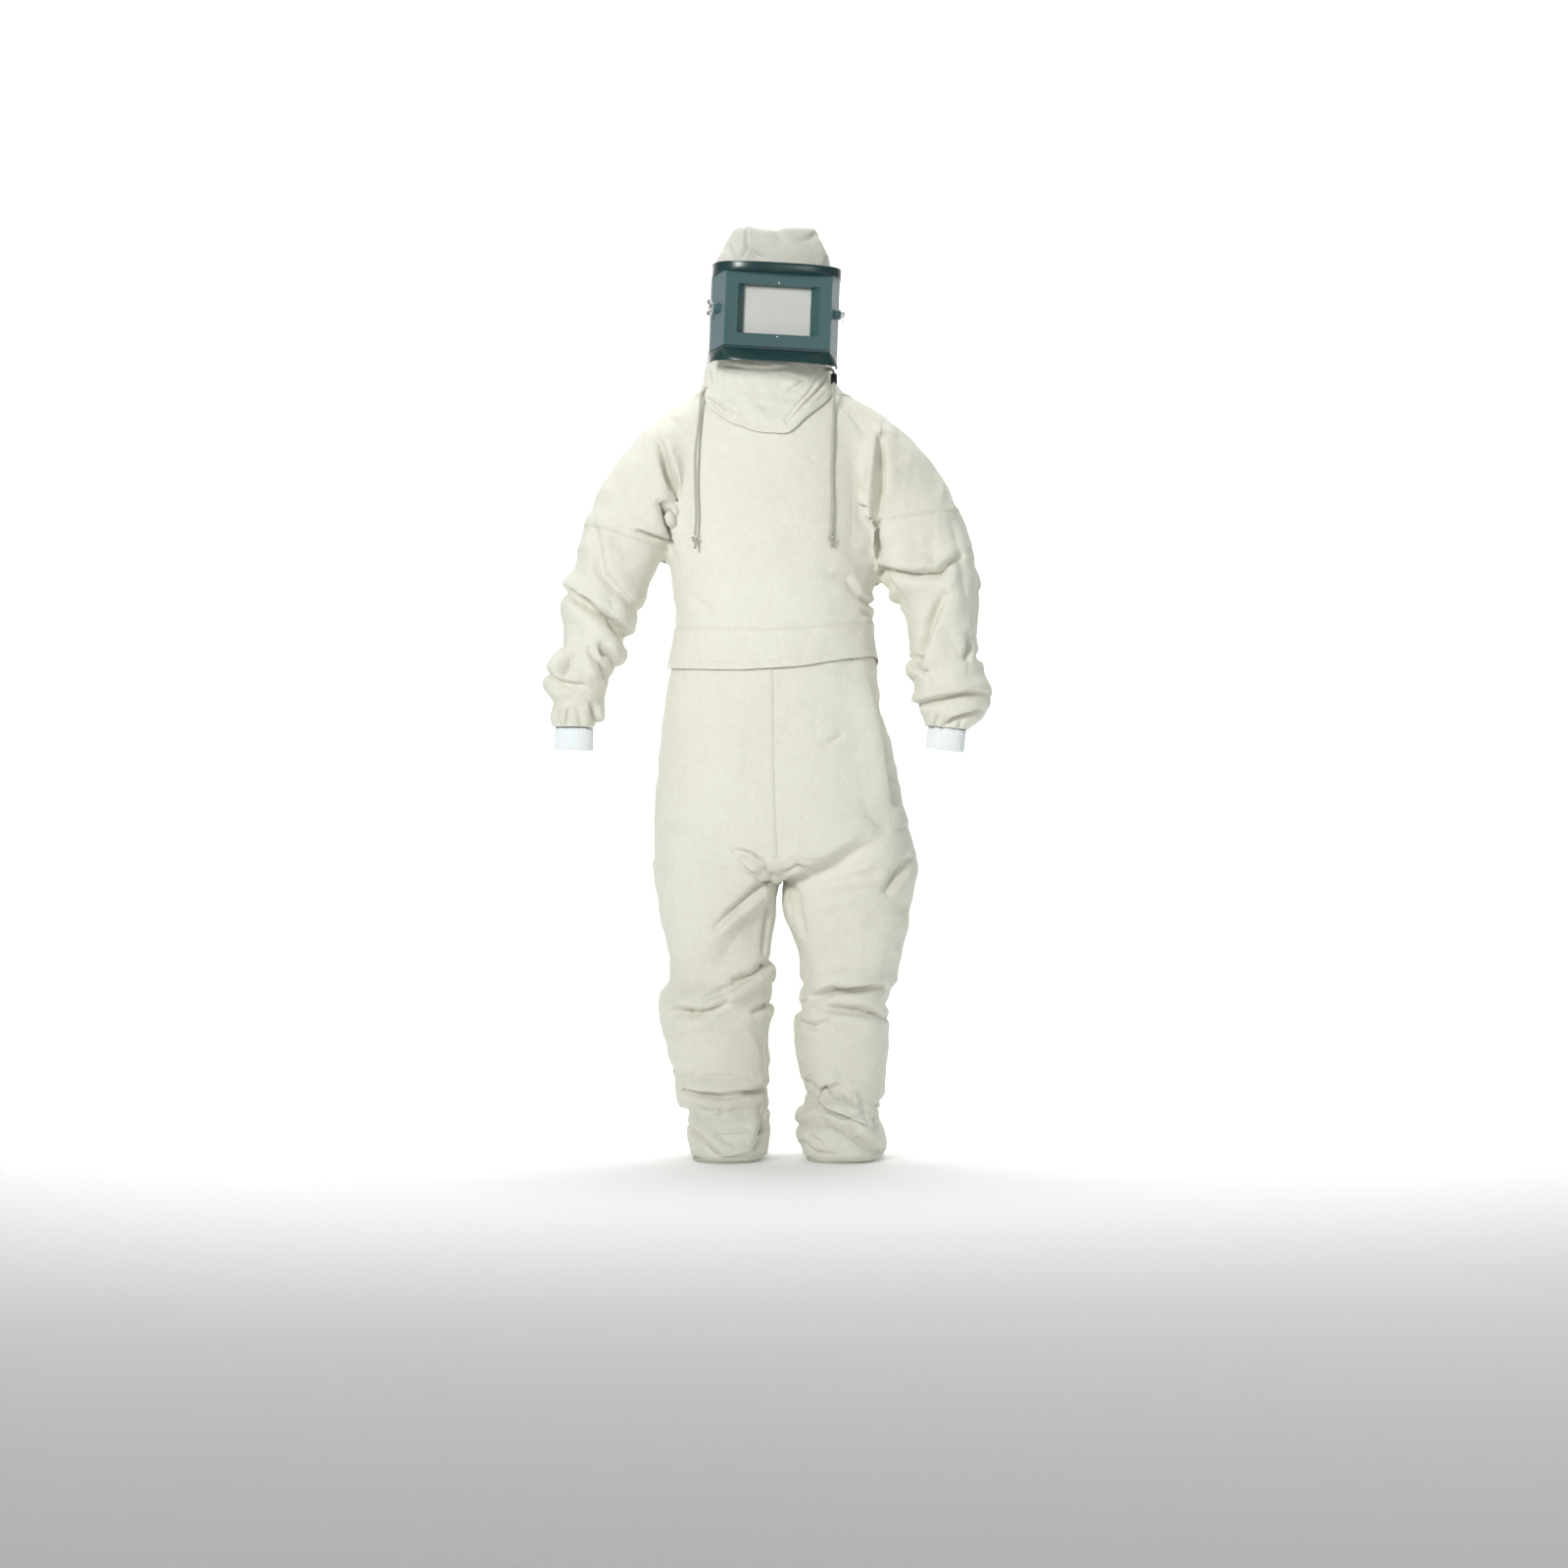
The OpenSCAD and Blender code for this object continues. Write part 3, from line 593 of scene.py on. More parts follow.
def simulate(skin):
    """Lets the cloth grow a little and buckle under its own weight, held near its cut."""
    co = get_co(skin.data)
    z, x = co[:, 2], co[:, 0]
    sleeve = ((x < -0.21) | (x > 0.225)) & (z < 1.26)
    pin = np.full(len(co), 0.55)
    pin[sleeve] = 0.16
    knee, ankle, hip = (
        np.exp(-((z - height) / spread) ** 2) * (np.abs(x) < 0.3)
        for height, spread in ((0.33, 0.07), (0.13, 0.05), (0.56, 0.06))
    )
    pin -= 0.38 * np.clip(knee + ankle + 0.7 * hip, 0, 1)
    ends = (z > 1.545) | (z < 0.10) | (sleeve & (z < 0.86))
    pin[ends] = 1.0
    group = skin.vertex_groups.new(name="pin")
    grow = skin.vertex_groups.new(name="grow")
    for i, weight in enumerate(pin):
        group.add([i], float(weight), "REPLACE")
        grow.add([i], float(1 - 0.75 * weight), "REPLACE")
    cloth = skin.modifiers.new("cloth", "CLOTH")
    settings = cloth.settings
    settings.quality = 6
    settings.mass = 0.25
    settings.tension_stiffness = 18
    settings.compression_stiffness = 18
    settings.shear_stiffness = 6
    settings.bending_stiffness = 0.9
    settings.vertex_group_mass = "pin"
    settings.pin_stiffness = 0.6
    settings.vertex_group_shrink = "grow"
    settings.shrink_min = 0
    settings.shrink_max = -0.09
    settings.effector_weights.gravity = 0.5
    cloth.point_cache.frame_start = 1
    cloth.point_cache.frame_end = CLOTH_FRAMES
    scene = bpy.context.scene
    for step in range(1, CLOTH_FRAMES + 1):
        scene.frame_set(step)
    apply_modifiers(skin)
    move = get_co(skin.data) - co
    size = np.linalg.norm(move, axis=1)
    move *= np.minimum(1, BUCKLE_LIMIT / np.maximum(size, 1e-9))[:, None]
    set_co(skin.data, co + move)
    scene.frame_set(1)


# Creases: line of (x, z) in millimetres, half-width, depth, raised side (1 left, -1 right of its run)
CREASES = [
    ([(-206, 1405), (-194, 1357), (-173, 1296)], 9, 13, 1),
    ([(-206, 1284), (-192, 1252), (-181, 1216)], 9, 16, 1),
    ([(-250, 1232), (-223, 1224), (-198, 1222)], 6, 7, 1),
    ([(-337, 1240), (-322, 1149), (-250, 1076)], 11, 6, -1),
    ([(-391, 1113), (-347, 1084), (-309, 1059), (-278, 1015)], 11, 15, 1),
    ([(-326, 1011), (-305, 971)], 9, 10, 1),
    ([(-345, 1000), (-322, 950)], 8, 7, -1),
    ([(-385, 990), (-395, 945)], 9, 9, -1),
    ([(-440, 960), (-400, 935), (-360, 930)], 8, 7, 1),
    ([(-391, 853), (-389, 886)], 4, 4, 1),
    ([(-362, 853), (-372, 884)], 4, 4, -1),
    ([(-345, 895), (-334, 847)], 6, 7, 1),
    ([(-408, 852), (-412, 880)], 4, 4, 1),
    ([(224, 1412), (222, 1328), (216, 1248)], 9, 14, -1),
    ([(216, 1244), (222, 1190)], 9, 12, -1),
    ([(226, 1162), (289, 1148), (340, 1149), (380, 1186)], 10, 11, 1),
    ([(228, 1160), (246, 1130), (270, 1098)], 9, 10, -1),
    ([(348, 1105), (321, 1042), (300, 975)], 11, 9, 1),
    ([(296, 985), (317, 958)], 8, 11, -1),
    ([(398, 1032), (394, 985)], 10, 8, -1),
    ([(290, 890), (333, 901), (392, 914), (432, 912)], 8, 11, 1),
    ([(352, 855), (369, 868), (421, 884)], 6, 8, 1),
    ([(330, 846), (338, 872)], 4, 4, 1),
    ([(376, 842), (382, 864)], 4, 4, -1),
    ([(18, 568), (-22, 597), (-60, 607)], 8, 7, 1),
    ([(16, 572), (-30, 578), (-52, 590)], 6, 4, -1),
    ([(22, 572), (58, 590), (88, 584)], 8, 7, -1),
    ([(210, 945), (226, 850), (238, 770), (251, 700)], 12, 13, -1),
    ([(6, 562), (-30, 521), (-74, 483), (-98, 456)], 9, 9, 1),
    ([(4, 540), (-3, 469), (-9, 401)], 5, 4, 1),
    ([(6, 389), (-30, 361), (-62, 353)], 9, 9, 1),
    ([(-178, 292), (-133, 289), (-78, 310)], 10, 12, 1),
    ([(-150, 296), (-87, 332), (-40, 352)], 10, 8, -1),
    ([(-192, 236), (-152, 244)], 6, 4, 1),
    ([(-26, 288), (4, 301)], 6, 6, -1),
    ([(-158, 134), (-80, 126), (0, 137)], 9, 7, 1),
    ([(-150, 110), (-70, 103), (-10, 113)], 7, 5, -1),
    ([(41, 553), (130, 576), (226, 630)], 26, 10, 1),
    ([(60, 520), (150, 545), (250, 575)], 22, 6, -1),
    ([(230, 530), (278, 592)], 11, 9, -1),
    ([(46, 545), (62, 511), (74, 446)], 9, 6, -1),
    ([(98, 317), (140, 337), (226, 338)], 10, 12, 1),
    ([(116, 298), (184, 293), (234, 272)], 10, 10, -1),
    ([(70, 268), (100, 262), (120, 272)], 8, 5, 1),
    ([(84, 150), (110, 138), (150, 146)], 8, 6, 1),
    ([(180, 120), (206, 104), (226, 108)], 8, 7, -1),
    ([(121, 1143), (157, 1139), (180, 1105)], 10, 3, 1),
    ([(-150, 1110), (-120, 1080), (-90, 1070)], 14, 2, -1),
    ([(186, 1102), (200, 1092), (212, 1096)], 5, 6, 1),
    ([(190, 1074), (206, 1064)], 5, 5, -1),
    ([(-43, 775), (-28, 776)], 3, 1.5, 1),
    ([(-76, 760), (-63, 761)], 3, 1.5, 1),
    ([(-43, 731), (-28, 732)], 3, 1.5, 1),
    ([(112, 812), (146, 826)], 10, 2.5, 1),
    ([(-186, 1452), (-158, 1440), (-140, 1424)], 9, 3, 1),
    ([(150, 1478), (176, 1452), (196, 1420)], 10, 3, -1),
]
# Creases on the back of the suit, where it would bag and fold in the same way
BACK_CREASES = [
    ([(-206, 1390), (-196, 1330), (-184, 1240)], 12, 12, 1),
    ([(226, 1390), (222, 1320), (214, 1240)], 12, 12, -1),
    ([(-120, 1420), (0, 1396), (150, 1424)], 26, 5, 1),
    ([(-395, 1120), (-340, 1096), (-286, 1090)], 12, 9, 1),
    ([(-400, 1010), (-350, 990), (-300, 1000)], 11, 9, -1),
    ([(290, 1130), (350, 1108), (410, 1120)], 12, 9, 1),
    ([(300, 990), (360, 968), (424, 990)], 11, 9, -1),
    ([(-150, 1090), (-40, 1070), (60, 1074)], 16, 4, 1),
    ([(80, 1090), (150, 1076), (200, 1086)], 14, 4, -1),
    ([(10, 900), (14, 760), (20, 600)], 12, 10, 1),
    ([(20, 640), (-70, 600), (-190, 590)], 18, 8, 1),
    ([(24, 640), (120, 604), (250, 600)], 18, 8, -1),
    ([(-180, 340), (-100, 326), (-10, 342)], 12, 11, 1),
    ([(-190, 296), (-100, 286), (-6, 300)], 12, 9, -1),
    ([(74, 340), (150, 326), (236, 342)], 12, 11, 1),
    ([(66, 292), (150, 284), (236, 300)], 12, 9, -1),
    ([(-170, 176), (-90, 168), (-8, 180)], 10, 4, 1),
    ([(80, 176), (150, 166), (228, 178)], 10, 4, -1),
]
# How much deeper the creases are pressed than their tables say
CREASE_GAIN = 1.9
# Crests where the cloth is drawn tight and bends from one flat plane to the next:
# line of (x, z) in millimetres, reach to the left of its run, reach to the right, height
CRESTS = [
    ([(-24, 532), (-52, 500), (-84, 464), (-108, 425), (-128, 380)], 34, 66, 15),
    ([(60, 520), (70, 484), (82, 444), (96, 400), (108, 352)], 56, 30, 13),
    ([(-24, 340), (-60, 322), (-112, 306), (-160, 300)], 26, 34, 7),
    ([(104, 330), (98, 280), (104, 220), (112, 160)], 30, 40, 6),
    ([(-176, 262), (-120, 262), (-60, 244)], 40, 50, 4),
    ([(250, 640), (216, 600), (186, 560), (150, 500)], 60, 46, 6),
    ([(-316, 1236), (-300, 1150), (-262, 1092)], 26, 40, 8),
    ([(-196, 1350), (-224, 1290), (-262, 1246)], 40, 30, 6),
    ([(238, 1380), (262, 1300), (272, 1240)], 40, 40, 6),
    ([(250, 1230), (268, 1180), (300, 1150)], 30, 30, 7),
    ([(352, 1180), (372, 1110), (366, 1050)], 30, 24, 6),
    ([(-352, 1052), (-330, 1000), (-344, 950)], 22, 24, 6),
    ([(-396, 1060), (-384, 1010), (-398, 960)], 18, 18, 5),
    ([(332, 1030), (352, 980), (372, 930)], 26, 26, 6),
]


def beside_line(points, line):
    """Each point's distance from a drawn line, signed and plain, its place along it, and the line's length."""
    lengths = np.linalg.norm(np.diff(line, axis=0), axis=1)
    starts = np.concatenate([[0], np.cumsum(lengths)])
    best = np.full(len(points), 1e9)
    signed = np.zeros(len(points))
    along = np.zeros(len(points))
    for i, length in enumerate(lengths):
        direction = (line[i + 1] - line[i]) / length
        offset = points - line[i]
        inside = np.clip(offset @ direction, 0, length)
        distance = np.linalg.norm(offset - inside[:, None] * direction, axis=1)
        cross = direction[0] * offset[:, 1] - direction[1] * offset[:, 0]
        closer = distance < best
        best[closer] = distance[closer]
        signed[closer] = (np.sign(cross) * distance)[closer]
        along[closer] = (starts[i] + inside)[closer]
    return signed, best, along, starts[-1]


def press_creases(co, normals, creases, front):
    """Presses each crease into the points: a valley with a soft ridge on one side."""
    facing = -normals[:, 1] if front else normals[:, 1]
    strength = CREASE_GAIN * smoothstep(-0.45, 0.1, facing)
    points = co[:, (0, 2)] * 1000
    shift = np.zeros(len(co))
    for line, width, depth, side in creases:
        line = np.array(line, float)
        low, high = line.min(axis=0) - 5 * width, line.max(axis=0) + 5 * width
        near = np.where(((points > low) & (points < high)).all(axis=1) & (strength > 0))[0]
        if not len(near):
            continue
        signed, _, along, total = beside_line(points[near], line)
        s = signed * side
        ends = np.sin(np.pi * np.clip(0.06 + 0.88 * along / total, 0, 1)) ** 0.6
        valley = -np.exp(-(s / (0.72 * width)) ** 2)
        spread = np.where(s < 1.3 * width, 0.75, 2.3) * width
        ridge = 0.8 * np.exp(-((s - 1.3 * width) / spread) ** 2)
        roll = 0.3 * np.exp(-((s + 2.0 * width) / (1.7 * width)) ** 2)
        shift[near] += depth * ends * (valley + ridge + roll) * strength[near]
    return co + normals * (shift * MM)[:, None]


def raise_crests(co, normals):
    """Raises each crest into a bent plane: sharp along its line, falling away evenly to both sides."""
    strength = smoothstep(-0.2, 0.3, -normals[:, 1])
    points = co[:, (0, 2)] * 1000
    shift = np.zeros(len(co))
    for line, left, right, height in CRESTS:
        signed, best, along, total = beside_line(points, np.array(line, float))
        reach = np.where(signed > 0, left, right)
        fall = np.clip(1 - np.sqrt(best ** 2 + 4) / reach, 0, 1)
        ends = np.sin(np.pi * np.clip(0.08 + 0.84 * along / total, 0, 1)) ** 0.7
        shift += height * ends * fall * strength
    return co + normals * (shift * MM)[:, None]


def rumple(co, normals, amount, scale, seed):
    """Small uneven dents, drawn out sideways, for cloth that has been handled."""
    weight = np.broadcast_to(amount, len(co))
    out = co.copy()
    for i, (point, size) in enumerate(zip(co, weight)):
        if size <= 0:
            continue
        p = Vector((point[0] * scale + seed, point[1] * scale, point[2] * scale * 1.7))
        warp = Vector((noise.noise(p * 0.6), noise.noise(p * 0.6 + Vector((7, 1, 3))), 0))
        value = 1 - 2 * abs(noise.noise(p + 1.2 * warp))
        out[i] += normals[i] * (size * (value - 0.5))
    return out


def dent(obj, amount, scale, seed):
    """Rumples an object's mesh."""
    co = get_co(obj.data)
    set_co(obj.data, rumple(co, get_normals(obj.data), amount, scale, seed))


def crease(obj, creases, front=True):
    """Presses creases into an object's mesh."""
    set_co(obj.data, press_creases(get_co(obj.data), get_normals(obj.data), creases, front))


def subdivide(obj):
    """One level of smooth subdivision, applied."""
    subsurf = obj.modifiers.new("subsurf", "SUBSURF")
    subsurf.levels = 1
    subsurf.render_levels = 1
    apply_modifiers(obj)


def fold_skin(skin):
    """Gives the skin its small dents, its crests and its creases, front and back."""
    subdivide(skin)
    co = get_co(skin.data)
    limbs = (np.abs(co[:, 0] - 0.01) > 0.23) | (co[:, 2] < 0.56)
    co = rumple(co, get_normals(skin.data), np.where(limbs, 0.0045, 0.0022), 9.0, 3.0)
    set_co(skin.data, co)
    subdivide(skin)
    co = raise_crests(get_co(skin.data), get_normals(skin.data))
    for creases, front in ((CREASES, True), (BACK_CREASES, False)):
        set_co(skin.data, co)
        co = press_creases(co, get_normals(skin.data), creases, front)
    set_co(skin.data, co)
    relax(skin, np.full(len(co), 0.5), 2)


skin = build_skin()
simulate(skin)
fold_skin(skin)
skin_tree = bvh_of(skin)


# ---------------------------------------------------------------- cutting the skin into panels

WAIST_Z = 1.010
NECK_Z = 1.500
CUFF_Z = 0.78
SEAM_LEFT = (Vector((-0.309, 0, 1.236)), Vector((-0.30, 0, -0.954)))
SEAM_RIGHT = (Vector((0.270, 0, 1.262)), Vector((0.16, 0, -0.987)))

# The panels of the skin, and the CAD nodes that each one stands for
PANEL_NODES = {
    "neck_top": ["neck_front", "neck_back"],
    "sleeve_left": ["sleeve_left_front", "sleeve_left_back"],
    "sleeve_right": ["sleeve_right_front", "sleeve_right_back"],
    "bodice": ["bodice_front", "bodice_back"],
    "trousers": [
        "trouser_left_front", "trouser_left_back", "trouser_right_front", "trouser_right_back", "fly_facing",
    ],
}


def cut_skin():
    """Cuts the skin along its seams and returns one object for each panel."""
    bm = bmesh.new()
    bm.from_mesh(skin.data)
    bm.faces.ensure_lookup_table()

    def bisect(test, point, normal):
        faces = [f for f in bm.faces if test(f.calc_center_median())]
        geometry = set(faces)
        for f in faces:
            geometry.update(f.edges)
            geometry.update(f.verts)
        bmesh.ops.bisect_plane(bm, geom=list(geometry), dist=1e-5, plane_co=point, plane_no=normal)

    bisect(lambda c: c.x < -0.205 and 1.0 < c.z < 1.33, *SEAM_LEFT)
    bisect(lambda c: c.x > 0.215 and 1.0 < c.z < 1.33, *SEAM_RIGHT)
    bisect(lambda c: -0.24 < c.x < 0.26 and 0.98 < c.z < 1.04, Vector((0, 0, WAIST_Z)), Vector((0, 0, 1)))
    bisect(lambda c: c.z > 1.48, Vector((0, 0, NECK_Z)), Vector((0, 0, 1)))

    def below(c, seam):
        return (c - seam[0]).dot(seam[1]) > 0 and c.z > CUFF_Z

    def region(c):
        spread = 0.25 * max(0, 1.0 - c.z)
        if c.z > NECK_Z:
            return "neck_top"
        if c.x < -0.195 - spread and below(c, SEAM_LEFT):
            return "sleeve_left"
        if c.x > 0.212 + spread and below(c, SEAM_RIGHT):
            return "sleeve_right"
        return "bodice" if c.z > WAIST_Z else "trousers"

    bm.verts.index_update()
    groups = {name: [] for name in PANEL_NODES}
    co = [v.co.copy() for v in bm.verts]
    for face in bm.faces:
        groups[region(face.calc_center_median())].append([v.index for v in face.verts])
    bm.free()
    panels = {}
    for name, faces in groups.items():
        used = sorted({i for f in faces for i in f})
        new = {old: k for k, old in enumerate(used)}
        panels[name] = from_arrays(name, [co[i] for i in used], [[new[i] for i in f] for f in faces])
    return panels


def open_end(obj, point, normal):
    """Removes what lies beyond a plane, so that the end of a limb is open."""
    with edited(obj) as bm:
        geometry = bm.verts[:] + bm.edges[:] + bm.faces[:]
        bmesh.ops.bisect_plane(
            bm, geom=geometry, dist=1e-5, plane_co=point, plane_no=normal, clear_outer=True)


def solidify(obj, thickness):
    """A thickness, inwards, not yet applied."""
    solid = obj.modifiers.new("thickness", "SOLIDIFY")
    solid.thickness = thickness
    solid.offset = -1
    solid.use_even_offset = False


def thicken(obj, thickness=0.0012):
    """Gives a panel the thickness of its cloth, inwards."""
    solidify(obj, thickness)
    apply_modifiers(obj)
    shade_smooth(obj.data)


panels = cut_skin()
bpy.data.objects.remove(skin)
open_end(panels["sleeve_left"], Vector((0, 0, 0.850)), Vector((0, 0, -1)))
open_end(panels["sleeve_right"], Vector((0.36, 0, 0.848)), Vector((-0.1, 0, -1)))
open_end(panels["trousers"], Vector((0, 0, 0.098)), Vector((0, 0, -1)))
open_end(panels["neck_top"], Vector((0, 0, 1.552)), Vector((0, 0, 1)))
for name, nodes in PANEL_NODES.items():
    thicken(panels[name])
    dress(panels[name], CANVAS)
    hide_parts(*nodes)

# ---------------------------------------------------------------- head frame

HINGE = next(j for j in frame["joints"] if j["name"] == "visor_tilt")
HEAD_X = -Vector(HINGE["axis"]).normalized()
HEAD_Y = Vector((-HEAD_X.y, HEAD_X.x, 0)).normalized()
HEAD_Z = HEAD_X.cross(HEAD_Y)
HEAD = Matrix.Translation(HINGE["pos_m"]) @ Matrix((HEAD_X, HEAD_Y, HEAD_Z)).transposed().to_4x4()


def into_head(obj):
    """Moves a mesh made in the head's own frame to its place."""
    obj.data.transform(HEAD)
    obj.data.update()


def bevel(obj, width, angle=28, segments=3):
    """Soft edges where the surface turns sharply."""
    made = obj.modifiers.new("bevel", "BEVEL")
    made.width = width
    made.segments = segments
    made.limit_method = "ANGLE"
    made.angle_limit = math.radians(angle)
    made.harden_normals = False


# ---------------------------------------------------------------- visor

VISOR_HALF, FRONT_HALF = 126.0, 104.0
FACET_Y, FRONT_Y = 30.0, -24.0
RECESS_X, RECESS_Z = 80.0, 48.0
WINDOW_X, WINDOW_Z = 66.0, 46.0
RECESS_FLOOR = -8.0
BOSS_OUT, BOSS_IN = 125.0, 108.0
BOSS_RADIUS, BOSS_BORE = 10.0, 3.4
SHELL_THICKNESS = 0.003
# Slot 2 holds the side facets' lighter plastic, a painted reflection
RIM_SLOT, SIDE_REFLECTION_SLOT = 1, 2


def by_fraction(line):
    """A function that gives the points at fractions of a polyline's length."""
    line = np.array(line, float)
    along = distances_along(line)

    def at(fractions):
        place = np.asarray(fractions) * along[-1]
        return np.stack([np.interp(place, along, line[:, k]) for k in range(2)], axis=-1)

    return at


def lip_outline(depth, power=2.8):
    """The rounded outline of a lip, from the left rear edge round the front to the right one."""
    points = []
    for i in range(361):
        x, y = superellipse(math.pi * i / 360, power)
        points.append((-VISOR_HALF * x, FACET_Y - depth * y))
    return by_fraction(points)


def visor_columns():
    """Fractions across the visor, with a line at each corner and each side of the window, and the numbers of
    the first corner's column and of the window's first and last ones."""
    facet = math.hypot(VISOR_HALF - FRONT_HALF, FACET_Y - FRONT_Y)
    total = 2 * facet + 2 * FRONT_HALF
    corner = facet / total

    def at(x):
        return corner + (x + FRONT_HALF) / total

    stops = [0, corner, at(-RECESS_X), at(RECESS_X), 1 - corner, 1]
    counts = [20, 7, 48, 7, 20]
    columns = []
    for a, b, n in zip(stops, stops[1:], counts):
        columns += list(np.linspace(a, b, n, endpoint=False))
    return np.array(columns + [1.0]), counts[0], sum(counts[:2]), sum(counts[:3])


def build_visor():
    """The moulded visor: a flat front between two facets, with a flared lip above and below."""
    columns, turn, first, last = visor_columns()
    plan = [(-VISOR_HALF, FACET_Y), (-FRONT_HALF, FRONT_Y), (FRONT_HALF, FRONT_Y), (VISOR_HALF, FACET_Y)]
    body = by_fraction(plan)(columns)
    top_lip, low_lip = lip_outline(77)(columns), lip_outline(80)(columns)
    # Rows from the top down: height, and how far out towards the lip's outline
    rows = [
        (86.5, 0.0), (88.4, 0.06), (89.0, 0.3), (89.0, 0.6), (89.0, 0.9), (88.3, 0.98), (86.6, 1.0),
        (83.0, 1.012), (79.0, 1.012), (75.0, 1.0), (72.8, 0.97), (71.6, 0.86), (71.0, 0.55), (70.2, 0.2),
        (68.6, 0.03),
    ]
    rows += [(z, 0.0) for z in np.arange(66.0, 48.5, -3.0)] + [(z, 0.0) for z in np.linspace(48, -48, 33)]
    rows += [(z, 0.0) for z in np.arange(-51.0, -76.5, -3.0)]
    rows += [
        (-78.0, 0.0), (-78.9, 0.10), (-80.2, 0.28), (-83.0, 0.43), (-86.0, 0.55), (-89.0, 0.67),
        (-92.0, 0.78), (-95.0, 0.87), (-98.0, 0.94), (-100.5, 0.985), (-102.8, 1.0), (-103.8, 0.975),
    ]
    verts, index = [], {}
    corner = columns[turn]
    for i, (z, s) in enumerate(rows):
        lip = top_lip if z > 0 else low_lip
        outline = body * (1 - s) + lip * s
        near_lip = math.exp(-((abs(z) - 72) / 7) ** 2)
        for k, (x, y) in enumerate(outline):
            index[i, k] = len(verts)
            outer = max(0.0, 1 - min(columns[k], 1 - columns[k]) / corner)
            verts.append((x, y, z - near_lip * outer * (7 if z > 0 else 9)))
    window_rows = [i for i, (z, s) in enumerate(rows) if abs(z) <= RECESS_Z + 0.01]
    top, low = window_rows[0], window_rows[-1]
    faces = []
    for i in range(len(rows) - 1):
        for k in range(len(columns) - 1):
            if top <= i < low and first <= k < last:
                continue
            faces.append((index[i, k], index[i + 1, k], index[i + 1, k + 1], index[i, k + 1]))
    rim = [(top, k) for k in range(first, last)] + [(i, last) for i in range(top, low)]
    rim += [(low, k) for k in range(last, first, -1)] + [(i, first) for i in range(low, top, -1)]
    loops = [[index[key] for key in rim]]
    for grow, y in ((0.0, RECESS_FLOOR), (0.0, -3.4)):
        loop = []
        for key in rim:
            x, _, z = verts[index[key]]
            loop.append(len(verts))
            verts.append((x * WINDOW_X / RECESS_X, y, z * WINDOW_Z / RECESS_Z))
        loops.append(loop)
    for outer, inner in zip(loops, loops[1:]):
        for k in range(len(rim)):
            n = (k + 1) % len(rim)
            faces.append((outer[k], outer[n], inner[n], inner[k]))
    obj = from_arrays("visor_shell_moulded", np.array(verts) * MM, faces)
    with edited(obj) as bm:
        bmesh.ops.recalc_face_normals(bm, faces=bm.faces)
        outward = sum(f.normal.y * f.calc_area() for f in bm.faces if f.calc_center_median().y < -0.02)
        if outward > 0:
            bmesh.ops.reverse_faces(bm, faces=bm.faces)
    solidify(obj, SHELL_THICKNESS)
    bevel(obj, 0.0011)
    apply_modifiers(obj)
    profile = [
        (BOSS_IN, BOSS_RADIUS), (BOSS_OUT - 1.1, BOSS_RADIUS), (BOSS_OUT - 0.3, BOSS_RADIUS - 0.3),
        (BOSS_OUT, BOSS_RADIUS - 1), (BOSS_OUT, BOSS_BORE), (BOSS_IN, BOSS_BORE),
    ]
    bosses = [lathe_x("boss", [(side * x, r) for x, r in profile], 48, closed=True) for side in (-1, 1)]
    obj = join_objects("visor_shell_moulded", [obj, *bosses])
    obj.data.set_sharp_from_angle(angle=math.radians(40))
    dress(obj, VISOR_GREEN, VISOR)
    obj.data.materials.append(VISOR_RIM)
    obj.data.materials.append(VISOR_SIDE_REFLECTION)
    for face in obj.data.polygons:
        x, _, z = face.center
        edge = 0.0075 * max(0.0, (abs(x) - 0.104) / 0.022)
        if z > 0.0705 - edge or z < -0.0715 - edge:
            face.material_index = RIM_SLOT
        # The side facets take the lighter plastic: painted reflection
        elif abs(x) > 0.1035 and abs(face.normal.x) > 0.5:
            face.material_index = SIDE_REFLECTION_SLOT
    into_head(obj)
    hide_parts("visor_shell")


def lathe_x(name, profile, sides, closed=False):
    """A form turned about the x axis from (x, radius) points in millimetres."""
    verts = []
    for x, r in profile:
        for k in range(sides):
            a = 2 * math.pi * k / sides
            verts.append((x, r * math.cos(a), r * math.sin(a)))
    obj = from_arrays(name, np.array(verts) * MM, tube_faces(len(profile), sides, closed))
    finish_mesh(obj)
    return obj


def window_rivets():
    """The two small rivets above and below the window."""
    pieces = []
    for z in (RECESS_Z + 3.2, -RECESS_Z - 4.5):
        dome = [(0.0, 2.0), (1.0, 2.0), (1.5, 1.6), (1.8, 0.9), (1.9, 0.2)]
        piece = lathe_x("rivet", dome, 20)
        place = Matrix.Translation((0, (FRONT_Y + 0.4) * MM, z * MM))
        piece.data.transform(place @ Matrix.Rotation(math.radians(-90), 4, "Z"))
        pieces.append(piece)
    obj = join_objects("window_rivets", pieces)
    finish_mesh(obj)
    into_head(obj)
    dress(obj, BRIGHT, VISOR)


build_visor()
window_rivets()

# ---------------------------------------------------------------- hood

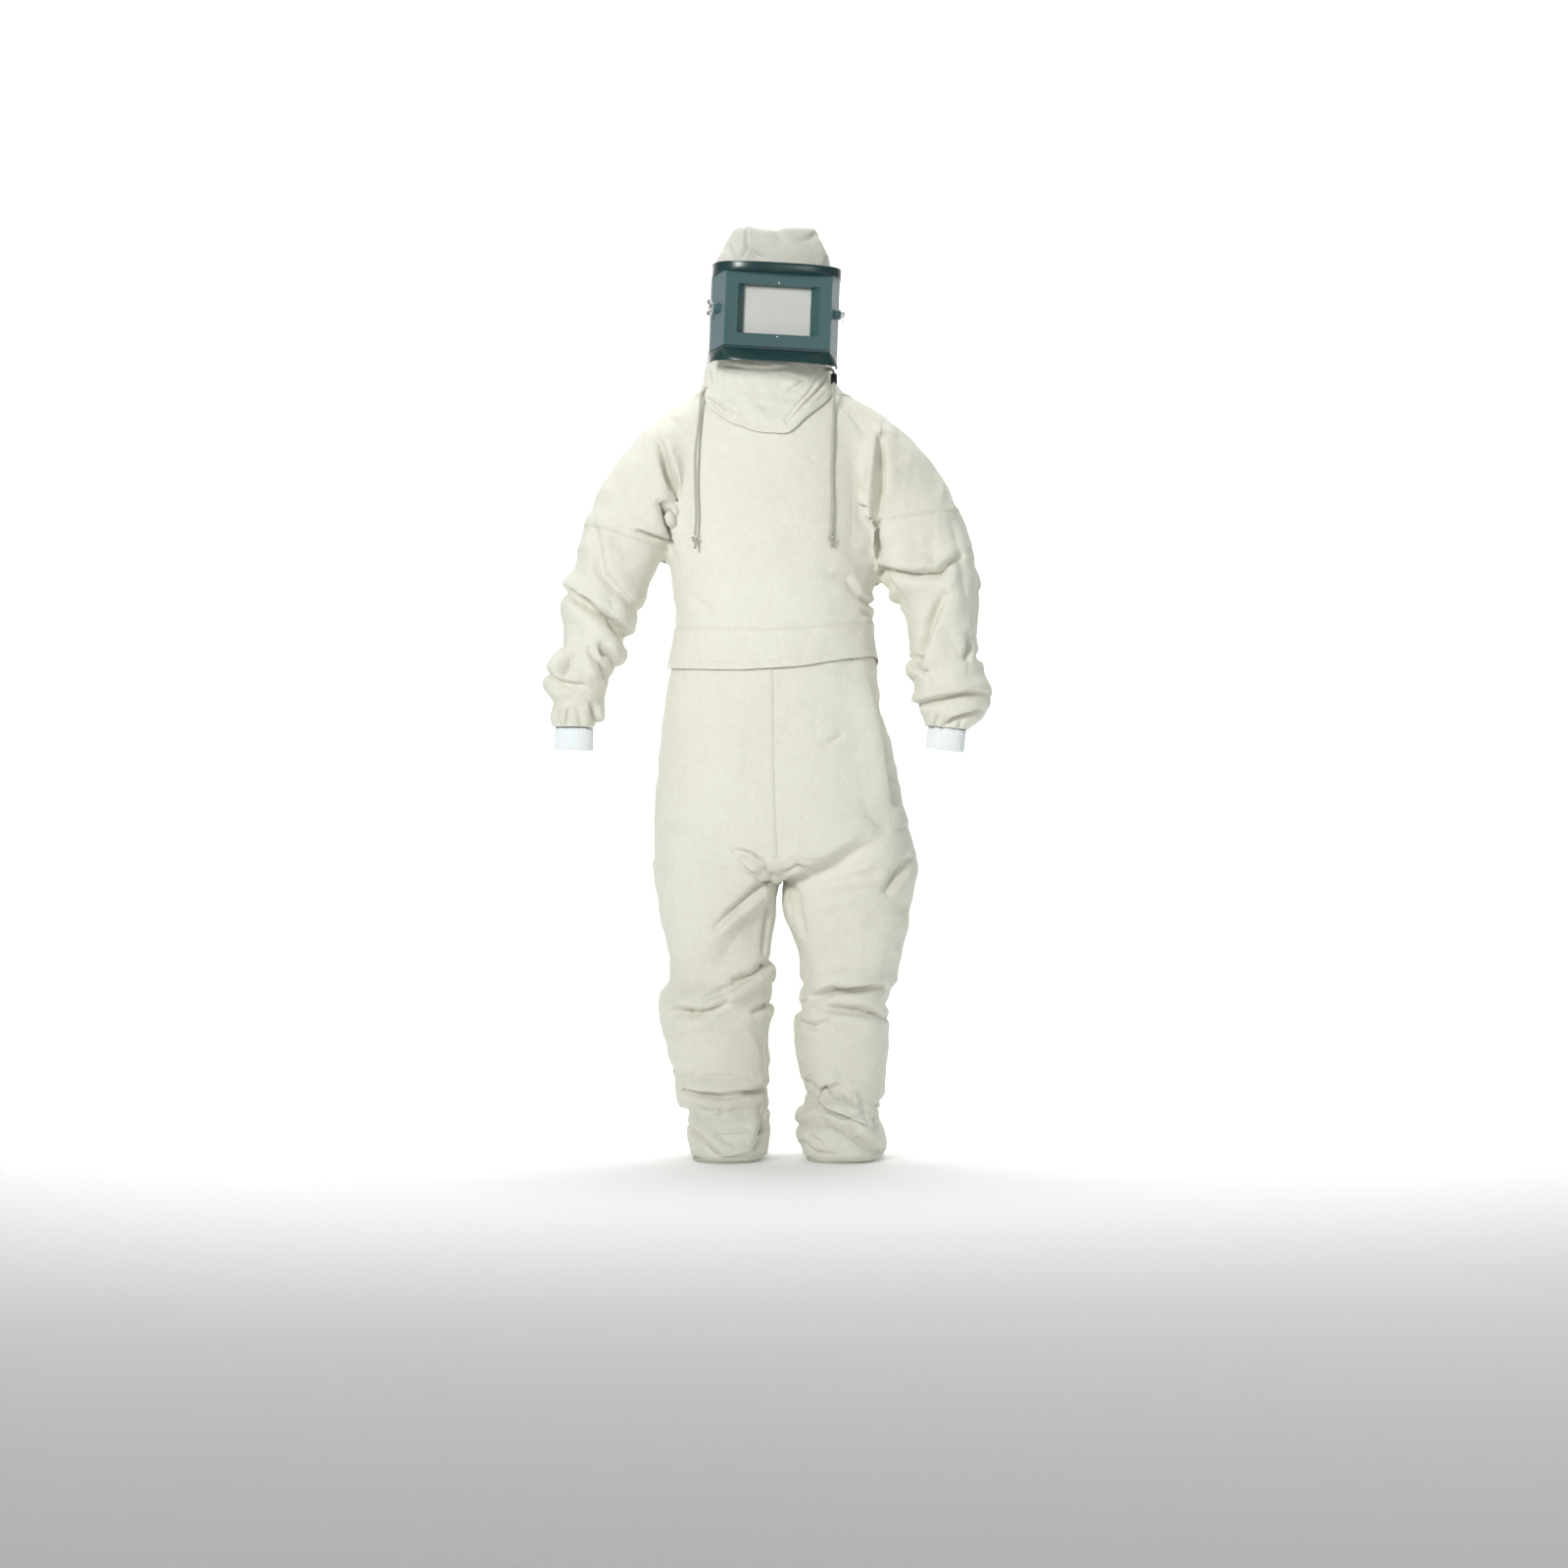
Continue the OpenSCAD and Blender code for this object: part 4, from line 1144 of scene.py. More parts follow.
# Sections in the head's frame, in millimetres: height, half-width, front, back, power of the outline
HOOD = [
    (-152, 139, 10, 248, 2.3), (-136, 133, 11, 246, 2.3), (-118, 126, 13, 245, 2.3),
    (-96, 122, 13, 248, 2.4), (-60, 117, 13, 256, 2.6), (-10, 116, 11, 261, 2.8),
    (40, 116, 10, 262, 2.8), (80, 118, 12, 259, 2.8), (98, 115, 14, 255, 2.8), (114, 111, 17, 250, 2.9),
    (130, 104, 20, 242, 3.0), (144, 96, 22, 235, 3.2), (156, 90, 24, 229, 3.6), (165, 86, 27, 224, 3.9),
    (170.5, 81, 31, 218, 4.0),
]
HOOD_CREASES = [
    ([(-66, 168), (-63, 148), (-60, 122), (-68, 104)], 4.5, 4.5, 1),
    ([(-60, 124), (-44, 110), (-28, 104)], 6, 2.5, 1),
    ([(84, 158), (94, 132), (97, 98)], 4.5, 4, -1),
    ([(78, 166), (66, 150), (40, 142)], 8, 1.8, -1),
    ([(-4, 170), (0, 154), (4, 140)], 12, 2, 1),
    ([(-92, 132), (-88, 112), (-86, 96)], 6, 2.5, 1),
]
FACE_X, FACE_LOW, FACE_TOP, FACE_BACK = 92.0, -82.0, 68.0, 90.0
NECK_X, NECK_Y = 0.005, 0.020
TUCK_LOW, TUCK_TOP, TUCK_GAP = 1.514, 1.548, 0.0020


def at_face(c):
    """Whether a point in the head's frame, in millimetres, lies in the hood's opening."""
    return abs(c.x) < FACE_X and FACE_LOW < c.z < FACE_TOP and c.y < FACE_BACK


def tuck_into_neck(hood):
    """Draws the hood's lower end in until it lies just inside the suit's neck."""
    co = get_co(hood.data)
    for i, (x, y, z) in enumerate(co):
        if z < TUCK_TOP:
            away = Vector((x - NECK_X, y - NECK_Y, 0))
            hit = skin_tree.ray_cast(Vector((NECK_X, NECK_Y, z)), away.normalized())
            if hit[0] is not None:
                part = 1 - float(smoothstep(TUCK_LOW, TUCK_TOP, z))
                r = away.length * (1 - part) + (hit[3] - TUCK_GAP) * part
                co[i, :2] = np.array((NECK_X, NECK_Y)) + r * np.array(away.normalized()[:2])
    set_co(hood.data, co)


def build_hood():
    """The hood: one sewn bag with a squared crown that dips between its corners, open at the face."""
    table = np.array(HOOD, float)
    heights = np.concatenate([np.arange(-152, 160, 8.0), [160, 164, 167, 169, 170.5]])
    columns = [np.interp(heights, table[:, 0], table[:, k]) for k in range(1, 5)]
    ring = 72
    verts = []

    def add_ring(z, half, front, back, power, shrink=1.0):
        for k in range(ring):
            x, y = superellipse(2 * math.pi * k / ring, power)
            verts.append((x * half * shrink, (front + back) / 2 + y * (back - front) / 2 * shrink, z))

    for i, z in enumerate(heights):
        add_ring(z, *(c[i] for c in columns))
    last = [c[-1] for c in columns]
    for shrink, z in ((0.96, 171.4), (0.9, 171.6), (0.75, 171), (0.5, 168.5), (0.25, 166)):
        add_ring(z, *last, shrink)
    rows = len(verts) // ring
    faces = tube_faces(rows, ring, caps=False)
    verts.append((0, (last[1] + last[2]) / 2, 165))
    top_ring = (rows - 1) * ring
    faces += [(top_ring + k, top_ring + (k + 1) % ring, len(verts) - 1) for k in range(ring)]
    co = np.array(verts)
    top = smoothstep(120, 170, co[:, 2])
    co[:, 2] -= top * 6 * np.exp(-((co[:, 0] + 14) / 34) ** 2)
    co[:, 2] += top * (0.030 * co[:, 0] - 1.5 + 3.0 * np.exp(-((co[:, 0] - 76) / 12) ** 2))
    co[:, 2] += top * 2.0 * np.exp(-((co[:, 0] + 70) / 12) ** 2)
    co[:, 0] += 4 * smoothstep(70, 100, co[:, 2]) * (1 - smoothstep(120, 165, co[:, 2]))
    co[:, 2] -= top * 12 * smoothstep(150, 235, co[:, 1])
    co[:, 0] += 4 * (1 - smoothstep(-150, -105, co[:, 2]))
    hood = from_arrays("hood_cloth", co * MM, faces)
    subdivide(hood)
    dent(hood, 0.0013, 11.0, 11.0)
    subdivide(hood)
    crease(hood, HOOD_CREASES)
    with edited(hood) as bm:
        inside = [f for f in bm.faces if at_face(f.calc_center_median() / MM)]
        bmesh.ops.delete(bm, geom=inside, context="FACES")
    finish_mesh(hood)
    into_head(hood)
    tuck_into_neck(hood)
    return hood


def press_down(obj):
    """Gives the object a mesh of its own."""
    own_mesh(obj)


hood = build_hood()
hood_tree = bvh_of(hood)
thicken(hood)
# The hood takes the darker canvas: painted shade
dress(hood, CANVAS_HOOD_SHADED)
press_down(hood)
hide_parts("hood_crown", "hood_side_left", "hood_side_right", "hood_back")

# ---------------------------------------------------------------- knit cuffs


def knit_cuff(side, x, tilt):
    """A ribbed knit tube, gathered in a little above its folded hem."""
    sides, ribs = 288, 48
    # Height, radius and depth of the ribs, in millimetres
    profile = [
        (2, 34.5, 0), (4, 36.0, 0.4), (2, 37.4, 0.8), (-4, 37.9, 1), (-10, 38.0, 1), (-16, 37.8, 1),
        (-22, 37.7, 1), (-28, 38.0, 1), (-33, 38.5, 1), (-35, 38.7, 0.9), (-36, 38.2, 0.5),
        (-37, 38.7, 0.9), (-40, 38.6, 0.9),
        (-41.6, 37.8, 0.5), (-42, 36.6, 0.2), (-41.2, 35.4, 0), (-38, 35.2, 0), (-20, 34.8, 0), (-4, 34.5, 0),
    ]
    verts = []
    for z, r, depth in profile:
        for k in range(sides):
            a = 2 * math.pi * k / sides
            rib = r + depth * 0.55 * math.cos(ribs * a) + 0.25 * math.sin(5 * a + 0.2 * z)
            verts.append((rib * math.cos(a), 0.86 * rib * math.sin(a), z))
    obj = from_arrays("knit_cuff_" + side, np.array(verts) * MM, tube_faces(len(profile), sides, closed=True))
    place = Matrix.Translation((x * MM, -0.002, 0.846))
    obj.data.transform(place @ Matrix.Rotation(math.radians(tilt), 4, "Y"))
    finish_mesh(obj)
    dress(obj, KNIT)
    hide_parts("cuff_" + side)


knit_cuff("left", -380, 2)
knit_cuff("right", 358, 8)

# ---------------------------------------------------------------- boot covers

# Sections from the sole up, in millimetres: height, left and right edge, toe and heel
BOOT_LEFT = [
    (1.2, -140, -6, -144, 122), (6, -146, 0, -150, 127), (14, -150, 3, -153, 129), (34, -155, 5, -154, 130),
    (52, -155, 5, -151, 128), (68, -153, 3, -142, 124), (84, -149, 2, -124, 116), (100, -146, 0, -104, 104),
    (118, -148, -6, -84, 94), (132, -150, -8, -72, 86),
]
BOOT_RIGHT = [
    (1.2, 86, 218, -144, 122), (6, 78, 227, -150, 127), (14, 72, 231, -153, 129), (34, 66, 234, -154, 130),
    (48, 60, 231, -152, 128), (62, 59, 224, -146, 126), (78, 62, 216, -130, 116), (94, 68, 212, -110, 106),
    (112, 82, 212, -88, 95), (130, 90, 214, -72, 85),
]
BOOT_CREASES = {
    "left": [
        ([(-150, 66), (-110, 40), (-92, 22)], 7, 5, 1), ([(-14, 100), (-16, 60), (-24, 34)], 7, 8, -1),
        ([(-146, 96), (-120, 88), (-90, 90)], 7, 4, 1),
    ],
    "right": [
        ([(66, 66), (94, 76), (127, 75), (158, 62), (190, 40), (218, 24)], 9, 9, 1),
        ([(88, 54), (104, 44), (112, 30)], 8, 4, -1), ([(120, 96), (150, 84), (186, 78)], 9, 6, 1),
        ([(180, 100), (196, 84), (206, 68)], 8, 9, -1), ([(76, 38), (100, 22), (130, 18)], 8, 4, 1),
    ],
}
BOOT_X = {"left": -76, "right": 146}
BOOT_BACK_CREASES = {
    "left": [([(-150, 104), (-80, 92), (-6, 104)], 10, 6, 1)],
    "right": [([(70, 104), (140, 92), (214, 104)], 10, 6, 1)],
}


def boot_cover(side, sections):
    """A canvas boot cover, soft over the toes and gathered under the trouser leg."""
    obj = loft("boot_cover_cloth_" + side, sections[::-1], step=7, power=2.35, ring=64)
    with edited(obj) as bm:
        caps = [f for f in bm.faces if len(f.verts) > 4 and f.calc_center_median().z > 0.05]
        bmesh.ops.delete(bm, geom=caps, context="FACES")
    subdivide(obj)
    height = smoothstep(0.006, 0.03, get_co(obj.data)[:, 2])
    dent(obj, 0.0052 * height, 14.0, 5.0 if side == "left" else 8.0)
    subdivide(obj)
    crease(obj, BOOT_CREASES[side])
    crease(obj, BOOT_BACK_CREASES[side], front=False)
    co = get_co(obj.data)
    co[:, 2] = np.maximum(co[:, 2], 0.0006)
    set_co(obj.data, co)
    return obj


boots = {"left": boot_cover("left", BOOT_LEFT), "right": boot_cover("right", BOOT_RIGHT)}
boot_trees = {side: bvh_of(obj) for side, obj in boots.items()}
for side, obj in boots.items():
    thicken(obj, 0.002)
    dress(obj, CANVAS)
    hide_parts("boot_cover_" + side)

# ---------------------------------------------------------------- tracing over the cloth

DIRECTIONS = {
    "front": (Vector((0, -1, 0)), Vector((0, 1, 0))), "back": (Vector((0, 1, 0)), Vector((0, -1, 0))),
    "left": (Vector((-1, 0, 0)), Vector((1, 0, 0))), "right": (Vector((1, 0, 0)), Vector((-1, 0, 0))),
}


# The height above which a hanging arm hides the suit's side
HAND_Z = 0.83


def smooth_line(points, step=4.0):
    """Even steps, in millimetres, along a smooth line through 2-D points."""
    line, _ = resample([(x, 0, z) for x, z in points], step)
    return line[:, (0, 2)]


def trace(points, side, trees, step=4.0, gap=None):
    """Where a line drawn on the cloth, seen from one side, meets its surface: points and normals.

    The points are (x, z) from the front or back and (y, z) from the left or right, in millimetres. gap is the
    x to look from where the arm hangs in the way."""
    away, towards = DIRECTIONS[side]
    found = []
    for a, z in smooth_line(points, step) * MM:
        if side in ("front", "back"):
            start = Vector((a, 0, z)) + away * 0.6
        else:
            start = Vector((0, a, z)) + away * 0.8
        if gap is not None and z > HAND_Z:
            start.x = gap
        best = None
        for tree in trees:
            hit = tree.ray_cast(start, towards)
            if hit[0] is not None and (best is None or hit[3] < best[3]):
                best = hit
        if best is not None:
            found.append((best[0], best[1]))
    return found


def trace_ring(centre, normal, tree, count=90, reach=1.0):
    """Where a plane through a limb meets the cloth: all the way round, or up to where it leaves the limb."""
    normal = Vector(normal).normalized()
    u = Vector((0, 1, 0)).cross(normal).normalized()
    v = normal.cross(u)
    found = []
    for k in range(count):
        a = 2 * math.pi * k / count
        direction = u * math.cos(a) + v * math.sin(a)
        point, outward = tree.ray_cast(Vector(centre), direction, reach)[:2]
        if point is None:
            found.append(None)
        else:
            found.append((point, outward if outward.dot(direction) > 0 else -outward))
    lost = [k for k, hit in enumerate(found) if hit is None]
    if not lost:
        return found, True
    found = found[lost[-1] + 1:] + found[:lost[-1] + 1]
    return [hit for hit in found if hit is not None], False


def ribbon(name, traced, width, height, sink=0.0009, closed=False):
    """A low rounded band of cloth along a traced line: the fold of a seam."""
    profile = [
        (-0.5, -sink), (-0.46, height * 0.7), (-0.3, height), (0, height * 0.82), (0.3, height),
        (0.46, height * 0.7), (0.5, -sink),
    ]
    verts = []
    count = len(traced)
    for i, (point, normal) in enumerate(traced):
        before = traced[(i - 1) % count if closed else max(0, i - 1)][0]
        after = traced[(i + 1) % count if closed else min(count - 1, i + 1)][0]
        along = (after - before).normalized()
        across = along.cross(normal).normalized()
        taper = 1.0 if closed else min(1.0, 0.3 + i / 3, 0.3 + (count - 1 - i) / 3)
        for a, h in profile:
            verts.append(point + across * (a * width) + normal * (h * taper if h > 0 else h))
    obj = from_arrays(name, verts, tube_faces(count, len(profile), closed))
    finish_mesh(obj)
    return obj


def stitch_run(name, traced, offset, lift, length=0.0032, pitch=0.0055, radius=0.00042, closed=False):
    """A row of single stitches beside a traced line."""
    points = [p for p, _ in traced] + ([traced[0][0]] if closed else [])
    normals = [n for _, n in traced] + ([traced[0][1]] if closed else [])
    along = np.concatenate([[0], np.cumsum([(b - a).length for a, b in zip(points, points[1:])])])
    co, no = np.array([p[:] for p in points]), np.array([n[:] for n in normals])

    def at(s):
        p = Vector([np.interp(s, along, co[:, k]) for k in range(3)])
        n = Vector([np.interp(s, along, no[:, k]) for k in range(3)]).normalized()
        return p, n

    verts, faces = [], []
    s = pitch / 2
    while s + length / 2 < along[-1]:
        a, normal = at(s - length / 2)
        b, _ = at(s + length / 2)
        run = b - a
        if run.length > 1e-6:
            run.normalize()
            across = run.cross(normal).normalized()
            base = len(verts)
            for t, r, h in ((0, 0.35, -0.6), (0.2, 1, 0.3), (0.5, 1.1, 0.6), (0.8, 1, 0.3), (1, 0.35, -0.6)):
                middle = a.lerp(b, t) + across * offset + normal * (lift + h * radius)
                for k in range(6):
                    c = math.pi * k / 3
                    verts.append(middle + (across * math.cos(c) + normal * math.sin(c)) * (radius * r))
            faces += [tuple(base + k for k in face) for face in tube_faces(5, 6)]
        s += pitch
    return from_arrays(name, verts, faces)


# ---------------------------------------------------------------- waist flap and its fastening tape

WAIST_CENTRE = Vector((0.012, 0.020, 0))
FLAP_TOP_LINE = [(-190, 1045), (-173, 1044), (-80, 1040), (6, 1038), (110, 1044), (207, 1055)]
FLAP_LOW_LINE = [
    (-196, 966), (-173, 964), (-110, 961), (-49, 959.5), (10, 963), (64, 967), (138, 980), (205, 989),
]


def around_waist(angle, height):
    """The cloth's surface in one direction from the waist's centre."""
    direction = Vector((math.sin(angle), -math.cos(angle), 0))
    hit = skin_tree.ray_cast(WAIST_CENTRE + Vector((0, 0, height)), direction)
    return hit[0], direction


def edge_height(line, x, front, behind):
    """The height of the flap's edge: as drawn in front, level behind."""
    xs, zs = zip(*line)
    drawn = float(np.interp(x * 1000, xs, zs))
    return (drawn * front + behind * (1 - front)) * MM


def waist_ring(name, rows, thickness, gaps, edges, count=220, angles=(-math.pi, math.pi)):
    """A band of cloth round the waist, off the suit by a gap; its top edge's length, and its area."""
    whole = angles[1] - angles[0] > 6.28
    verts = []
    steps = count if whole else count + 1
    for k in range(steps):
        angle = angles[0] + (angles[1] - angles[0]) * k / count
        probe, _ = around_waist(angle, 1.0)
        front = float(smoothstep(-0.3, 0.35, math.cos(angle)))
        high, low = edges(probe.x, front)
        for order, inset in ((rows, 0), (reversed(rows), thickness)):
            for t in order:
                point, direction = around_waist(angle, high + (low - high) * t)
                verts.append(point + direction * (gaps(t, angle) * MM - inset))
    m = 2 * len(rows)
    obj = from_arrays(name, verts, tube_faces(steps, m, whole))
    finish_mesh(obj)
    area = sum(p.area for p in obj.data.polygons) / 2
    top = np.array([verts[k * m][:] for k in range(steps)])
    length = float(np.linalg.norm(np.diff(top, axis=0), axis=1).sum())
    return obj, length, area


def flap_gap(t, angle):
    """How far the flap stands off the suit: sewn at its top edge, thicker at its hem, loose at the bottom."""
    sewn = 2.0 + 1.4 * smoothstep(0.0, 0.06, t)
    hang = 3.6 * smoothstep(0.1, 1.0, t) * (0.75 + 0.25 * math.sin(3 * angle + 0.6))
    wave = 0.9 * smoothstep(0.3, 1.0, t) * math.sin(11 * angle) * math.sin(4 * angle + 1.0)
    hem = 0.7 * smoothstep(0.80, 0.82, t)
    return sewn + hang + wave + hem


def build_waist():
    """The flap that covers the joint of jacket and trousers, and the fastening tape under it."""
    rows = [
        0, 0.01, 0.03, 0.06, 0.12, 0.2, 0.3, 0.4, 0.5, 0.6, 0.7,
        0.78, 0.805, 0.82, 0.86, 0.92, 0.97, 0.99, 1.0,
    ]

    def flap_edges(x, front):
        return edge_height(FLAP_TOP_LINE, x, front, 1048), edge_height(FLAP_LOW_LINE, x, front, 968)

    flap, length, area = waist_ring("waist_flap_cloth", rows, 0.0013, flap_gap, flap_edges)
    dress(flap, CANVAS)
    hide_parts("waist_flap")
    arc = math.radians(58)
    rows = [0, 0.04, 0.5, 0.96, 1.0]
    for name, gap, node in (("loop_tape", 1.4, "loop_strip"), ("hook_tape", 2.9, "hook_strip")):
        tape, length, area = waist_ring(
            name, rows, 0.0010, lambda t, angle: gap, lambda x, front: (1.000, 0.980), 120, (-arc, arc))
        dress(tape, TAPE)
        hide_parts(node)
    return flap


flap = build_waist()
flap_tree = bvh_of(flap)

# ---------------------------------------------------------------- bib

NOWHERE = 1e9
BIB_HEM = [
    (-127, 1512), (-124, 1498), (-108, 1472), (-72, 1444), (-47, 1434), (-19, 1424), (14, 1421), (46, 1423),
    (77, 1452), (104, 1474), (122, 1492), (131, 1516),
]
BIB_CREASES = [
    ([(-110, 1546), (-106, 1520), (-110, 1498)], 5, 4, 1),
    ([(-81, 1556), (-35, 1548), (-4, 1546), (40, 1549)], 3.5, 2.2, 1),
    ([(-115, 1494), (-92, 1474), (-68, 1456)], 4, 4.5, 1),
    ([(-98, 1494), (-78, 1476), (-60, 1464)], 4, 2.5, 1),
    ([(130, 1551), (104, 1512), (74, 1476), (43, 1440)], 5, 4.5, 1),
    ([(112, 1550), (86, 1506), (63, 1479), (37, 1446)], 4, 3, 1),
    ([(30, 1534), (56, 1531), (76, 1526)], 3.5, 2.5, 1),
    ([(74, 1526), (60, 1516), (46, 1509)], 3.5, 2, -1),
    ([(46, 1509), (72, 1503)], 3.5, 1.5, 1),
    ([(-62, 1516), (-40, 1504), (-16, 1508)], 7, 1.5, 1),
    ([(-20, 1482), (0, 1472), (26, 1480)], 8, 1.2, -1),
]


def front_of(trees, x, z):
    """The cloth's foremost y at a point seen from the front, in millimetres, or NOWHERE."""
    nearest = NOWHERE
    for tree in trees:
        hit = tree.ray_cast(Vector((x, -600, z)) * MM, Vector((0, 1, 0)))
        if hit[0] is not None:
            nearest = min(nearest, hit[0].y * 1000)
    return nearest


def throat_front(x, z):
    """How far forward the bib hangs at a point, in millimetres, where it isn't held by the chest."""
    t = (z - 1420) / 140
    centre, half = 3 + 3 * t, 148 - 22 * t
    reach = 128 - 24 * t
    u = min(1.0, abs(x - centre) / half)
    return 20 - reach * (1 - u ** 2.5) ** (1 / 2.5)


def draw_taut(y, rounds, slack):
    """Lets a grid of depths span its hollows as hung cloth does, with a little slack."""
    for _ in range(rounds):
        level = (y[:-2, 1:-1] + y[2:, 1:-1] + y[1:-1, :-2] + y[1:-1, 2:]) / 4
        y[1:-1, 1:-1] = np.minimum(y[1:-1, 1:-1], level + slack)


def face_front(obj):
    """Turns a sheet's faces to the front."""
    if get_normals(obj.data)[:, 1].mean() > 0:
        obj.data.flip_normals()


def build_bib():
    """The cloth over the throat: hung from the hood's front edge, with a turned hem low on the chest."""
    hem, _ = resample([(x, 0, z) for x, z in BIB_HEM], 2.6)
    hem = hem[:, (0, 2)]
    columns = len(hem)
    rows = 46
    base = np.zeros((rows, columns, 3))
    for k, (x1, z1) in enumerate(hem):
        s = k / (columns - 1)
        x0, z0 = -114 + 244 * s, 1574.0
        for i in range(rows):
            t = i / (rows - 1)
            x, z = x0 + (x1 - x0) * t ** 1.1, z0 + (z1 - z0) * t
            surface = front_of((skin_tree, hood_tree), x, z)
            base[i, k] = (x, min(throat_front(x, z), surface - 3.2 - 1.6 * t), z)
    draw_taut(base[:, :, 1], 60, 0.02)
    bib = from_arrays("bib_cloth", (base * MM).reshape(-1, 3), grid_faces(rows, columns))
    face_front(bib)
    co = get_co(bib.data)
    normals = get_normals(bib.data)
    edge = np.zeros((rows, columns))
    for i in range(rows):
        held = 1 if i < 4 else 0
        for k in range(columns):
            edge[i, k] = min(1, (rows - 1 - i) / 6, k / 4 + held, (columns - 1 - k) / 4 + held)
    co = rumple(co, normals, (0.0018 * edge).ravel(), 16.0, 21.0)
    set_co(bib.data, co)
    set_co(bib.data, press_creases(co, get_normals(bib.data), BIB_CREASES, True))
    subdivide(bib)
    co = get_co(bib.data)
    normals = get_normals(bib.data)
    reach = np.full(len(co), NOWHERE)
    for x, z in hem * MM:
        reach = np.minimum(reach, np.hypot(co[:, 0] - x, co[:, 2] - z))
    band = 1 - smoothstep(0.011, 0.0125, reach)
    groove = np.exp(-((reach - 0.0105) / 0.0011) ** 2)
    soft = 0.45 + 0.55 * smoothstep(0.030, 0.075, np.abs(co[:, 0] - 0.003))
    set_co(bib.data, co + normals * ((0.0009 * band - 0.0012 * groove) * soft)[:, None])
    tree = bvh_of(bib)
    thicken(bib, 0.0013)
    dress(bib, CANVAS)
    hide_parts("bib")
    return tree, hem


bib_tree, bib_hem = build_bib()

# ---------------------------------------------------------------- seams and stitching

CLOTH = [skin_tree]


def shrink(line, amount):
    """A drawn line moved in towards its middle."""
    line = np.array(line, float)
    centre = line.mean(axis=0)
    away = line - centre
    return centre + away * (1 - amount / np.maximum(np.linalg.norm(away, axis=1), 1e-9))[:, None]


def build_seams():
    """Felled seams with two rows of stitches, hems and tacks, over the whole suit."""
    bands, stitches = [], []

    def felled(traced, width=0.007, height=0.0010, closed=False, rows=(-1, 1)):
        if len(traced) < 4:
            return
        bands.append(ribbon("band", traced, width, height, closed=closed))
        for side in rows:
            stitches.append(stitch_run("run", traced, side * width * 0.30, height + 0.0001, closed=closed))

    def row(traced, offset=0.0, closed=False, lift=0.0001):
        if len(traced) >= 4:
            stitches.append(stitch_run("run", traced, offset, lift, closed=closed))

    felled(trace([(10, 956), (10.5, 880), (12, 775), (15, 680), (19, 592)], "front", CLOTH))
    row(trace([(44, 960), (43, 900), (38, 850), (24, 822), (16, 818)], "front", CLOTH))
    felled(trace([(12, 1046), (12, 900), (14, 760), (19, 610)], "back", CLOTH))
    inseam = [(2, 548), (-1, 500), (-3, 469), (-9, 400), (-5, 340), (-3, 250), (-3, 150)]
    felled(trace(inseam, "front", CLOTH), 0.006)
    inseam = [(44, 540), (56, 465), (70, 390), (80, 330), (70, 280), (64, 232), (72, 190), (80, 150)]
    felled(trace(inseam, "front", CLOTH), 0.006)
    side_seam = [(16, 950), (18, 850), (22, 700), (24, 560), (22, 450), (20, 350), (16, 250), (14, 120)]
    felled(trace(side_seam, "left", CLOTH, gap=-0.255))
    felled(trace(side_seam, "right", CLOTH, gap=0.272))
    felled(trace([(16, 1190), (16, 1120), (14, 1056)], "left", CLOTH, gap=-0.212))
    felled(trace([(16, 1170), (16, 1120), (14, 1062)], "right", CLOTH, gap=0.232))

    def ring(centre, normal, tree, count, reach, width=0.007, rows=(-1, 1)):
        traced, closed = trace_ring(centre, normal, tree, count, reach)
        felled(traced, width, closed=closed, rows=rows)

    ring((-0.290, 0.018, 1.230), SEAM_LEFT[1], skin_tree, 110, 0.115)
    ring((0.312, 0.018, 1.269), SEAM_RIGHT[1], skin_tree, 110, 0.115)
    ring((0.005, 0.020, 1.506), (0, 0, 1), skin_tree, 150, 0.3, 0.008)
    for centre, normal in (((-0.380, 0.0, 0.874), (0.03, 0, 1)), ((0.367, 0.0, 0.872), (-0.12, 0, 1))):
        traced, closed = trace_ring(centre, normal, skin_tree, 80, 0.085)
        row(traced, closed=closed)
    row(trace([(-186, 1040.5), (-80, 1036.5), (6, 1034.5), (110, 1040.5), (200, 1051)], "front", [flap_tree]))
    row(trace([(x, z + 14) for x, z in FLAP_LOW_LINE[1:-1]], "front", [flap_tree]))
    row(trace([(-180, 1044), (0, 1044), (196, 1044)], "back", [flap_tree]))
    row(trace([(-180, 982), (0, 982), (196, 984)], "back", [flap_tree]))
    for line in (shrink(bib_hem, 5.0), shrink(bib_hem, 10.5)):
        row(trace([tuple(p) for p in line[::6]], "front", [bib_tree]), lift=0.0003)
    row(trace([(138, 986), (138, 976)], "front", [flap_tree, skin_tree], step=1.5))
    for z in (819, 821):
        row(trace([(12, z), (30, z)], "front", CLOTH, step=2.0))
    for side, tree in boot_trees.items():
        ring((BOOT_X[side] * MM, -0.012, 0.013), (0, 0, 1), tree, 130, 0.3, 0.005, rows=(1,))
    for side, tree in boot_trees.items():
        felled(trace([(BOOT_X[side], z) for z in (96, 60, 20)], "back", [tree]), 0.006)
    suit_bands, suit_stitches = list(bands), list(stitches)
    bands.clear()
    stitches.clear()
    hood = [hood_tree]
    hood_seam = [(66, 1528), (68, 1600), (70, 1680), (68, 1740), (62, 1790)]
    for side in ("left", "right"):
        felled(trace(hood_seam, side, hood), 0.006)
    for name, pieces, material in (
        ("felled_seams", suit_bands, CANVAS_SEAM), ("stitching", suit_stitches, THREAD),
        ("hood_seams", bands, CANVAS_SEAM), ("hood_stitching", stitches, THREAD),
    ):
        joined = join_objects(name, pieces)
        dress(joined, material)
        if name.startswith("hood"):
            press_down(joined)


build_seams()

# ---------------------------------------------------------------- trouser fronts over the boots

